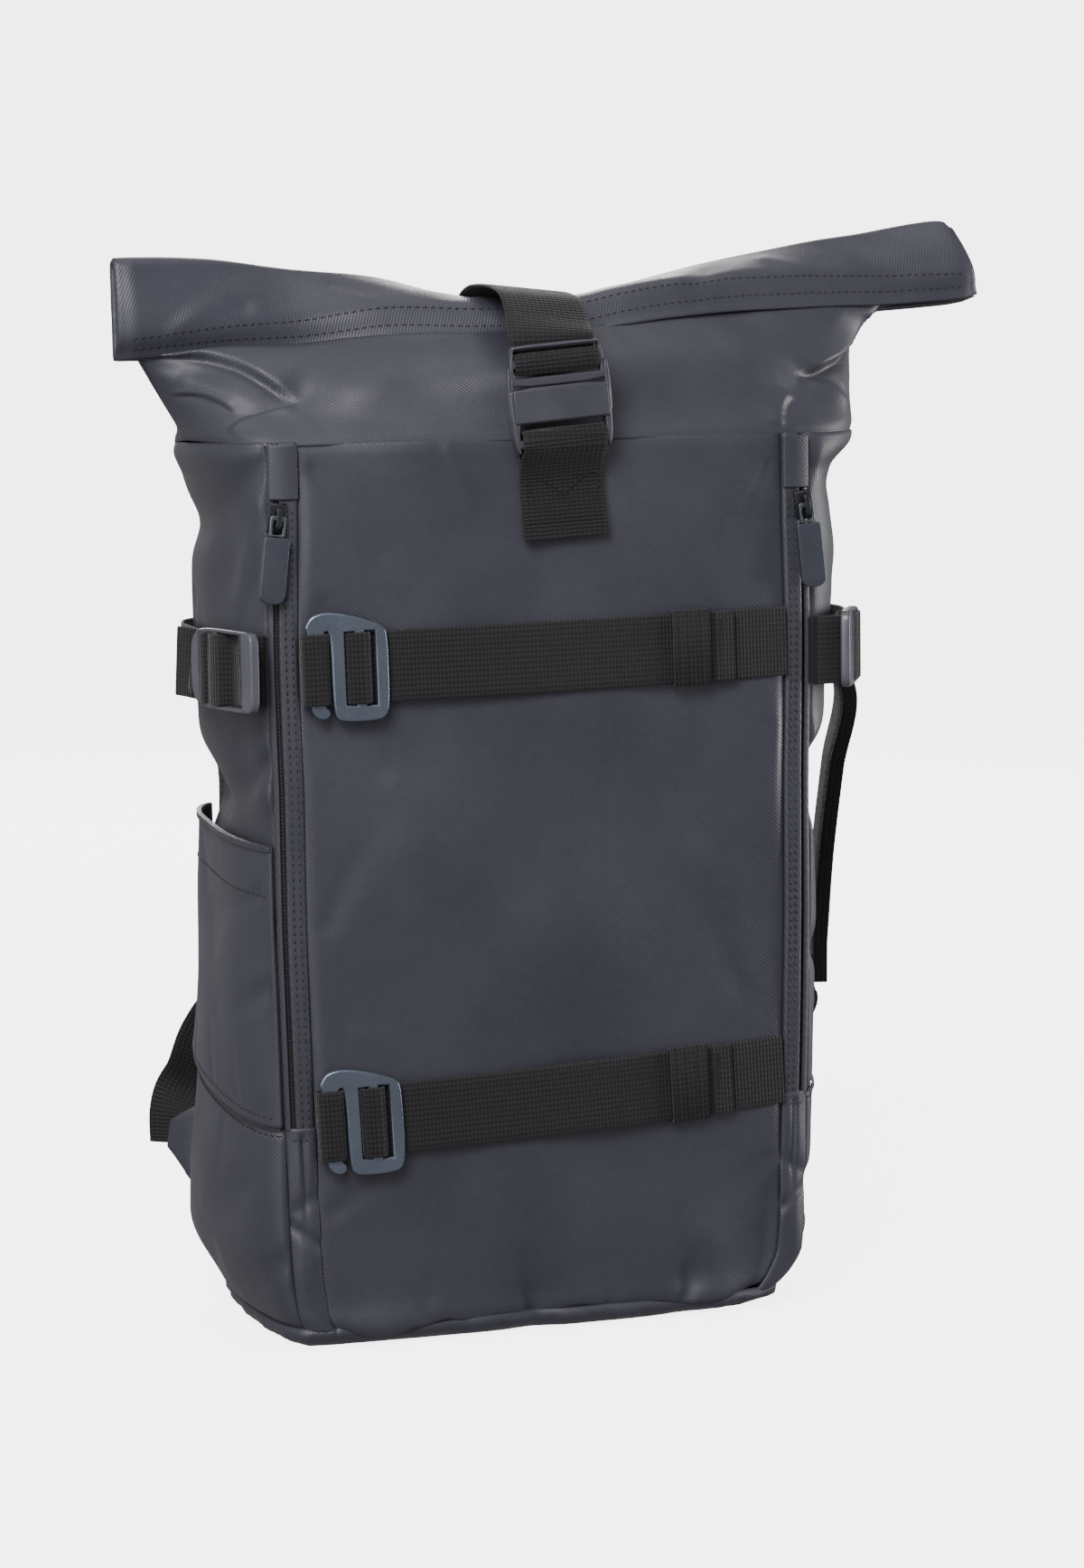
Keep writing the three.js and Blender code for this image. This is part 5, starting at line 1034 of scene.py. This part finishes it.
# Closure buckle and its straps
closureEndZ, closureX, buckleZ, buckleX, buckleHalf, buckleThick = 357, 7, 418.5, 3, 23.2, 6
lean = math.radians(5)
buckleY = -frontDepth - crownDepth * 0.5 - 9
bR, bT, bO = A3(math.cos(lean), 0, math.sin(lean)), A3(-math.sin(lean), 0, math.cos(lean)), FORE
in_buckle = lambda x, u, o: A3(buckleX, buckleY, buckleZ) + bR * x + bT * u + bO * o
toB = basis(bR, bT, bO, A3(buckleX, buckleY, buckleZ))
webHalf = closureWeb / 2 + 0.5
up_ = dict(top=23.4, slotLow=9.2, slotHigh=21.2, barLow=13.4, barHigh=17.2)
lo_ = dict(slotLow=-17.6, slotHigh=-10.8, barLow=-20.8)
bh = buckleHalf
slot = lambda low, high, wide: hole(0, (low + high) / 2, wide, high - low)
curve_plate("buckle_upper_body",
            [(-bh + 0.4, 5.2), (bh - 0.4, 5.2), (bh - 0.8, 10), (bh - 2.6, 21.8), (bh - 4, 23.4),
             (-bh + 4, 23.4), (-bh + 2.6, 21.8), (-bh + 0.8, 10)],
            [slot(up_["slotLow"], up_["barLow"], 2 * webHalf),
             slot(up_["barHigh"], up_["slotHigh"], 2 * webHalf - 0.6)],
            buckleThick * 0.6 + 0.6, 0.9, toB, plastic, ["buckle_upper"])
curve_plate("buckle_lower_body",
            [(-bh + 0.2, 4.9), (-bh, 0), (-bh + 0.6, -19.4), (-bh + 2.4, -23.4), (-webHalf - 0.4, -23.4),
             (-webHalf - 0.4, -20.8), (webHalf + 0.4, -20.8), (webHalf + 0.4, -23.4), (bh - 2.4, -23.4),
             (bh - 0.6, -19.4), (bh, 0), (bh - 0.2, 4.9)],
            [slot(lo_["slotLow"], lo_["slotHigh"], 2 * webHalf + 0.2)],
            buckleThick, 0.9, toB, plastic, ["buckle_lower"])
# the lower half's raised, bevelled face and the two side arms
curve_plate("buckle_face", [(-bh + 1.5, 4.2), (-bh + 1.5, -10.2), (bh - 1.5, -10.2), (bh - 1.5, 4.2)], [],
            2.0, 0.7, basis(bR, bT, bO, in_buckle(0, 0, buckleThick / 2 + 0.2)), plastic, [], round_=0)
for sgn, word in ((-1, "left"), (1, "right")):
    curve_plate("buckle_arm_" + word, [(sgn * (bh - 0.1), 15), (sgn * (bh + 0.5), 3), (sgn * (bh + 0.4), -9),
                                       (sgn * (bh - 1.9), -10), (sgn * (bh - 2.0), 13)][::sgn], [], 3.2, 0.7,
                basis(bR, bT, bO, in_buckle(0, 0, 0.9)), plastic, [])

slot_at = in_buckle(0, lo_["slotLow"], 0)
slant = (slot_at[0] - closureX) / (slot_at[2] - closureEndZ)
w = A3(1, 0, -slant)
x_at = lambda z: closureX + slant * (z - closureEndZ)
put = lambda z, off: (on_front(x_at(z), z, off), w)
behind = in_buckle(0, lo_["barLow"] - 1, -buckleThick / 2 - seamGap - webThick / 2)
ahead = in_buckle(0, lo_["barLow"] - 1, buckleThick / 2 + seamGap + webThick / 2)
t_low = in_buckle(0, lo_["slotLow"] - 0.4, -buckleThick / 2 - seamGap - webThick / 2)
t_high = in_buckle(0, lo_["slotLow"] - 0.4, buckleThick / 2 + seamGap + webThick / 2)
s0 = A3(ahead[0], lerp(ahead[1], on_front(x_at(ahead[2] - 5), ahead[2] - 5, stand2)[1], 0.45), ahead[2] - 5)
path = [put(closureEndZ, stand1), put(closureEndZ + 12, stand1), put(closureEndZ + 24, stand1),
        (behind + A3(0, 0, -3), w), (t_low, bR), *[(p, bR) for p in half_turn(t_low, t_high, UP)],
        (t_high, bR), (ahead, bR), (s0, w),
        put(closureEndZ + 26, stand2), put(closureEndZ + 13, stand2), put(closureEndZ, stand2)]
band("closure_webbing_lower", path, closureWeb, webThick, webbing, ["closure_strap_lower"])
band("closure_hem", [put(closureEndZ + v, stand2 + webThick * 0.85) for v in (-0.5, 2, 4, 6)],
     closureWeb + 0.2, 0.9, webbing)
mid = on_front(x_at(closureEndZ + 19), closureEndZ + 19, stand2 + webThick / 2)
box_stitch(mid, unit(A3(slant, 0, 1)), unit(w), FORE, closureWeb - 6, 24)

off = buckleThick * 0.3 + seamGap + webThick / 2
beh = off + webThick + seamGap
local = lambda u, d: (in_buckle(0, u, d), bR)
bend = up_["barLow"] + 0.5
path = [local(up_["top"], -beh - 0.3), local(up_["slotHigh"] - 1.4, -beh - 0.3),
        local(up_["barHigh"] - 0.6, -off - 0.6), local(bend, -off),
        *[(p, bR) for p in half_turn(in_buckle(0, bend, -off), in_buckle(0, bend, off), -bT)],
        local(bend, off), local(up_["barHigh"] - 0.3, off), local(up_["barHigh"] + 1.3, off - 0.9),
        local(up_["barHigh"] + 1.9, 0), local(up_["barHigh"] + 2.5, -off + 0.6),
        local(up_["slotHigh"] + 0.2, -off - 0.2), local(up_["top"] + 0.6, -off - 0.2)]
rf = roll_frame(buckleX)
crest = float(rf["z"] + rf["thick"] + 8)
wv = A3(1, 0, -0.1)
topz = buckleZ + up_["top"]
for dx, dy, zz in ((-0.5, 14, lerp(topz, crest, 0.50)), (0, 25, lerp(topz, crest, 0.88)), (0, 36, crest),
                   (0, 54, crest + 1.5), (0, 74, crest + 1), (1, 90, crest - 3), (2, 106, crest - 19),
                   (4, 124, crest - 34)):
    path.append((A3(buckleX + dx, buckleY + dy, zz), wv))
for yy, zz in ((backDepth - 6, 14), (backDepth + 3.4, -1), (backDepth + 3.4, -12)):
    path.append((A3(buckleX + 6, yy, bodyHeight + zz), wv))
band("closure_webbing_upper", path, closureWeb, webThick, webbing, ["closure_strap_upper"])

# Zip garages, sliders and pulls
for hand, word, sign in HANDS:
    sx = front_edge(bodyHeight - 12)
    K, Vv = grid(0, 1, 24, 0, 1, 50)
    kk = mirrored(sign, K)
    xx = lerp(sx + 0.6, sx + flapWidth + zipWidth - 0.2, kk)
    yy = -frontDepth - seamGap - 1.2 - 0.9 * (1 - (2 * kk - 1) ** 2) + kk * 1.56
    zz = lerp(bodyHeight - 24, bodyHeight - 1, Vv)
    P = np.stack([sign * xx, yy, zz], -1)
    shell("garage_cloth_" + word, P, 1.2, cloth, ["garage_" + word])
    pull = "pull_" + word
    beveled("slider_body_" + word, "slider_" + word, zip_metal, 0.35)
    beveled("bail_body_" + word, "bail_" + word, zip_metal, 0.35)
    beveled("link_frame_" + word, "zip_link_" + word, link_metal, 0.3, body=pull)
    beveled("pull_tab_" + word, "zip_pull_" + word, rubber, 1.5, body=pull, segments=4)

# Side straps
sideBuckleLength, sideBuckleTall, sideBuckleShare, sideStrapZ = 50, 35.5, 0.235, 302.0
SIDE_FLARE = {"L": 1, "R": 9}
SIDE_ROWS = [[0.00, 0.20, 1.30], [0.20, 0.30, 1.80], [0.45, 0.35, 1.50], [0.70, 0.30, 0.80],
             [1.00, 0.00, 0.00]]
wideBar, lockLow, lockHigh, gripLow, gripHigh, rearBar = 12.5, 23.5, 27.3, 33.6, 36.8, 40.4


def on_side(hand, k, z, off):
    t = k if hand == "R" else 1 - k
    return plain("side" + hand, t, z) + outward("side" + hand, t, z) * off


for hand, word, sign in HANDS:
    L, H, k0, z = sideBuckleLength, sideBuckleTall / 2, sideBuckleShare, sideStrapZ
    e3 = outward("side" + hand, mirrored(sign, k0), z)
    e2, e1 = UP, A3(-sign * e3[1], sign * e3[0], 0)
    fl = math.radians(SIDE_FLARE[hand])
    half, fore = 2.0, 12 if hand == "L" else 0
    bar = wideBar if fore == 0 else 10.5 - fore
    above = half + seamGap + webThick / 2
    l1, l2 = -above, -above - webThick - seamGap
    origin = on_side(hand, k0, z, seamGap + 1.2 + webThick / 2 - l2) - e1 * L / 2
    e1, e3 = e1 * math.cos(fl) + e3 * math.sin(fl), e3 * math.cos(fl) - e1 * math.sin(fl)
    at = lambda x, o: origin + e1 * x + e3 * o
    hh = frontWeb / 2 + 0.4
    e3m = np.cross(e1, e2)
    curve_plate("side_buckle_body_" + word,
                [(1.5 - fore, -H + 1.5), (4 - fore, -H), (L - 9, -H), (L - 2.5, -H + 4), (L, -H + 10),
                 (L, H - 10), (L - 2.5, H - 4), (L - 9, H), (4 - fore, H), (1.5 - fore, H - 1.5),
                 (-fore, H - 5), (-fore, 5 - H)],
                [hole((bar + lockLow) / 2, 0, lockLow - bar, 2 * hh),
                 hole((lockHigh + gripLow) / 2, 0, gripLow - lockHigh, 2 * hh - 0.4),
                 hole((gripHigh + rearBar) / 2, 0, rearBar - gripHigh, 2 * hh - 0.8)],
                4.4, 1.1, basis(e1, e2, e3m, origin), side_plastic, ["side_buckle_" + word], round_=2)
    S = lambda x, o: (at(x, o), e2)
    lift, stand = (1.5, 4.0) if hand == "L" else (0, 0)
    short = [(on_side(hand, 0.012, z, seamGap + webThick * 1.5 + seamGap), e2), S(3, l1), S(wideBar - 1, l1),
             S(wideBar + 2.5, l1 + 0.8), S(lockLow - 4.5, above - 0.8), S(lockLow - 1.5, above),
             S(lockHigh - 0.2, above), S(lockHigh + 1.0, above - 0.8), S(lockHigh + 1.2, 0),
             S(lockHigh + 0.9, l1 + 0.2), S(lockHigh - 1.5, l2), S(wideBar, l2), S(3, l2),
             (on_side(hand, 0.012, z, seamGap + webThick / 2), e2)]
    band("side_webbing_front_" + word, short, frontWeb, webThick, webbing, ["side_strap_front_" + word])
    col = 1 if hand == "L" else 2
    rear = lambda share: on_side(hand, lerp(0.46, 0.97, share), z,
                                 seamGap + webThick / 2 + 10 * float(lookup(SIDE_ROWS, share, col)))
    long = [(rear(j / 6), e2) for j in range(6, 0, -1)]
    long += [S(L + 1.5, l2 - 0.4), S(rearBar + 1, l2), S(gripLow + 1.2, l2),
             S(gripLow - 1.2, l1 + 0.1), S(gripLow - 1.6, 0), S(gripLow - 0.8, above - 0.5),
             S(gripLow + 0.8, above), S(gripHigh, above), S(gripHigh + 1.5, above - 1.0),
             S(gripHigh + 1.8, 0), S(gripHigh + 2.4, l1 + 0.5), S(rearBar + 1.2, l1),
             S(L - 1, l1), (at(L + 4, l1 + 1.2 + stand / 3) + e2 * lift / 2, e2),
             (at(L + 13, l1 + 1.6 + stand) + e2 * lift, e2)]
    band("side_webbing_back_" + word, long, frontWeb, webThick, webbing, ["side_strap_back_" + word])
    q = np.array([at(L + 7.5, l1 + 2.0 + stand / 2) + e2 * (v + lift * 0.7) for v in np.linspace(-14, 14, 20)])
    for dx in (0, 4):
        stitches(q + e1 * dx, e3, thread_dark, pitch=2.4, length=1.7, r=0.3)

# Left pocket, with a rolled rim of its own cloth
pocketHeight, pocketRise, pocketGape, pocketWay, pocketTall = 225, 5, 2.4, 160, 120


POCKET_FOLDS = [(0.9, 100, 0.5, 84, 6, 1.6), (0.3, 110, 0.5, 70, 8, 1.2), (0.95, 60, 0.6, 40, 7, 1.6),
                (0.75, 6, 0.72, 26, 4, 1.0), (0.55, 6, 0.52, 28, 4, 1.0), (0.35, 6, 0.33, 24, 4, 0.9)]


def pocket_at(u, v, off=0.0):
    t = lerp(0.06, 0.985, u)
    z = lerp(seam_z("sideL", t) + 1, pocketHeight + pocketRise * ease(1 - t), v)
    gape = pocketGape * np.clip(np.sin(math.pi * u), 0, 1) ** 0.8 * np.clip(v, 0, 1) ** 0.7
    x, y = u * pocketWay, v * pocketTall
    wave = ripples(x, y, 0.55, 5.0) + creases(POCKET_FOLDS, pocketWay, u, y)
    d = 2 * seamGap + gape + wall + off - wave * ease(np.minimum(u, 1 - u) / 0.06) * ease(v / 0.08 + 0.2)
    return plain("sideL", t, z) + outward("sideL", t, z) * d[..., None]


U, Vv = grid(0, 1, 85, 0, 1, 90)
shell("pocket_cloth", pocket_at(U, Vv), wall, cloth, ["pocket_left"])
us = np.linspace(0, 1, 60)
rimline = pocket_at(us, np.full(60, 1.0), 0.15)
band("pocket_binding", [(q + A3(0, 0, -0.9), UP) for q in rimline], 2.6, 1.6, cloth_painted_shade, soft=0.6)
for v, z in ((0.82, 190.0), (0.03, 120.0)):
    stitches(pocket_at(us, np.full(60, v)), outward("sideL", lerp(0.06, 0.985, us), np.full(60, z)), thread)

# Shoulder straps with bound edges, webbing and wings
strapReach, padWidth, padThick, lowerWeb, wingWidth, wingThick = 40, 58, 9, 25, 32, 2.6
# across, behind and up, each as a share, turn of the width in degrees, share of the width
SHOULDER = {
    1: [[0.42, 0.13, 0.905, 0, 1], [0.46, 0.20, 0.885, 0, 1], [0.58, 0.60, 0.890, 4, 1],
        [0.85, 0.95, 0.855, 18, 1], [1.25, 0.95, 0.800, 45, 1], [1.56, 0.75, 0.745, 68, 1],
        [1.68, 0.62, 0.680, 72, 1], [1.625, 0.58, 0.580, 72, 0.95], [1.575, 0.55, 0.470, 72, 0.9],
        [1.55, 0.53, 0.380, 72, 0.8], [1.55, 0.52, 0.312, 72, 0.5]],
    -1: [[-0.42, 0.13, 0.905, 0, 1], [-0.44, 0.20, 0.880, 0, 1], [-0.51, 0.60, 0.860, 0, 1],
         [-0.60, 0.95, 0.800, 0, 1], [-0.65, 1.00, 0.680, 0, 1], [-0.63, 1.00, 0.590, 0, 0.95],
         [-0.655, 0.95, 0.450, 0, 0.85], [-0.70, 0.85, 0.370, 0, 0.6]]}
# the same for the webbing, with its slant in degrees in the last place
WEB = {1: [[1.53, 0.52, 0.295, 72, 10], [1.49, 0.47, 0.265, 60, 25], [1.36, 0.42, 0.225, 40, 45]],
       -1: [[-0.80, 0.66, 0.345, 0, 15], [-0.90, 0.57, 0.325, 0, 30], [-0.99, 0.53, 0.290, 0, 30],
            [-1.06, 0.48, 0.245, 10, 15]]}


def on_back(x, z, off):
    s = sizes(z)
    p = plain("back", np.clip((1 - x / s[3]) / 2, 0, 1), z)
    return A3(x, p[1] + off, z)


for hand, word, sign in HANDS:
    place = lambda r: A3(r[0] * backHalf, backDepth + r[1] * strapReach, r[2] * bodyHeight)
    ctl = []
    for r in SHOULDER[sign]:
        a = math.radians(r[3])
        ctl.append([*place(r), math.cos(a), math.sin(a), 0, r[4], 0.6 if r[4] < 0.7 else 1.0])
    rows = smooth_path(ctl, 2.2)
    Pm, W, Nn = course(rows)
    sh = np.array([-1, -0.97, -0.88, -0.78, -0.5, -0.2, 0, 0.2, 0.5, 0.78, 0.88, 0.97, 1])
    fu = np.array([0.30, 0.50, 0.62, 0.92, 1.0, 1.02, 1.03, 1.02, 1.0, 0.92, 0.62, 0.50, 0.30])
    hw, th = rows[:, 6:7] * padWidth / 2, rows[:, 7:8] * padThick / 2
    pad = strip("shoulder_padding_" + word, Pm, W, Nn, sh, fu, hw, th, mesh_cloth, ["shoulder_pad_" + word])
    for e, tag in ((-1, "a"), (1, "b")):
        edge_pts = Pm + W * (e * (hw - 1.2))
        band(f"shoulder_binding_{word}_{tag}", [(edge_pts[k], Nn[k]) for k in range(0, len(Pm), 2)],
             padThick * 0.78, 2.8, binding, soft=0.7, step=3)
    path = [(A3(*c[:3]), A3(*c[3:6]), c[6], c[7]) for c in ctl]
    z = bodyHeight * 0.175
    back_, aft_ = (float(v) for v in sizes(z)[3:6:2])
    wing = [(on_back(sign * (back_ - 2), z - 2, seamGap + 1.3), UP, 1.45),
            (A3(sign * (back_ + 6), aft_ + 4.5, z), UP, 1.05),
            (A3(sign * (back_ + (20 if sign > 0 else 15)), aft_ + 12, z + 2), UP, 0.42)]
    tip, before = path[-1], path[-2]
    lay = unit(np.cross(tip[1], tip[0] - before[0]))
    clear = seamGap + 0.75
    depth_at = lambda q: padThick / 2 * lerp(before[3], tip[3], q) + clear
    on_pad = lambda q: (lerp(before[0], tip[0], q) + lay * sign * depth_at(q), tip[1])
    way = wing[2][0] - wing[1][0]
    way = unit(A3(way[0], way[1], 0))
    wf = A3(-sign * way[1], sign * way[0], 0)
    on_wing = lambda q, rise, w: (lerp(wing[1][0], wing[2][0], q) + A3(0, 0, rise)
                                  + wf * (wingThick / 2 + clear), w)
    web = [on_pad(0.5), on_pad(1)]
    for r in WEB[sign]:
        a, b = math.radians(r[3]), math.radians(r[4]) * sign
        web.append((place(r), A3(math.cos(a) * math.cos(b), math.sin(a) * math.cos(b), math.sin(b))))
    if sign < 0:
        web += [on_wing(0.95, 9, -way), on_wing(0.95, -5, -way)]
    else:
        web += [on_wing(1.7, 2, A3(0.05, 0, 1)), on_wing(1.05, 0, UP), on_wing(0.15, -1, UP)]
    band("shoulder_webbing_" + word, web, lowerWeb, webThick, webbing, ["shoulder_web_" + word])
    band("wing_cloth_" + word, wing, wingWidth, wingThick, cloth, ["wing_" + word], soft=0.5)

# Grab handle
handleZ, handleWidth, handleThick, handleReach = bodyHeight - 13, 24, 2.4, 24
foot = lambda x, stand=0.0: (on_back(x, handleZ, seamGap + 1.2 + stand), UP)
path = [foot(-52), foot(-44)]
path += [foot(a * 42, handleReach * (0.03 + 0.97 * (1 - a * a) ** 0.45))
         for a in (-1 + 2 * k / 20 for k in range(21))]
path += [foot(44), foot(52)]
band("grab_handle_webbing", path, handleWidth, handleThick, webbing, ["grab_handle"])

flush_stitches()

# Floor and light
fm = Nodes("floor", Roughness=0.9, Specular_IOR_Level=0.1, Emission_Color=(1, 1, 1, 1), Emission_Strength=4.2)
fm.colours(fm.noise(fm.coords("Object"), 3.0), (0.3, (0.86, 0.86, 0.86)), (0.7, (0.88, 0.88, 0.88)))
me = bpy.data.meshes.new("floor")
prof = [(0.02, 0.0), (2.4, 0.0), (3.0, 0.06), (3.5, 0.3), (3.85, 0.75), (4.0, 1.4), (4.0, 6.0)]
turn = 72
pts = [(r * math.cos(2 * math.pi * k / turn), r * math.sin(2 * math.pi * k / turn), zz)
       for r, zz in prof for k in range(turn)]
fc = [(r * turn + k, r * turn + (k + 1) % turn, (r + 1) * turn + (k + 1) % turn, (r + 1) * turn + k)
      for r in range(len(prof) - 1) for k in range(turn)] + [tuple(range(turn))]
me.from_pydata(pts, [], fc)
me.materials.append(fm.mat)
me.polygons.foreach_set("use_smooth", [True] * len(me.polygons))
floor = add("floor", me)
floor.visible_diffuse = floor.visible_glossy = floor.visible_shadow = False

world = bpy.data.worlds.new("studio")
world.use_nodes = True
bg = world.node_tree.nodes["Background"]
bg.inputs["Color"].default_value = (0.97, 0.975, 1.0, 1)
bg.inputs["Strength"].default_value = 0.36
bpy.context.scene.world = world


def area(name, at, to, size, power):
    li = bpy.data.lights.new(name, "AREA")
    li.shape, li.size, li.size_y, li.energy = "RECTANGLE", *size, power
    ob = add(name, li)
    ob.location = at
    ob.rotation_euler = (Vector(to) - Vector(at)).to_track_quat("-Z", "Y").to_euler()
    return ob


area("key", (-1.0, -1.6, 1.7), (0, 0, 0.3), (1.1, 0.9), 55)
area("top", (0.1, 0.0, 2.2), (0, 0, 0.3), (1.6, 1.0), 7)
area("rim_right", (1.9, -0.15, 0.35), (0, 0, 0.08), (0.7, 0.9), 25)
area("front_left", (-1.6, -1.9, 0.7), (0, 0, 0.22), (0.8, 1.4), 20)
area("fill_left", (-2.0, 0.3, 0.9), (0, 0, 0.25), (0.6, 1.6), 4)
area("behind", (0.3, 2.2, 1.3), (0, 0, 0.25), (1.4, 1.2), 34)
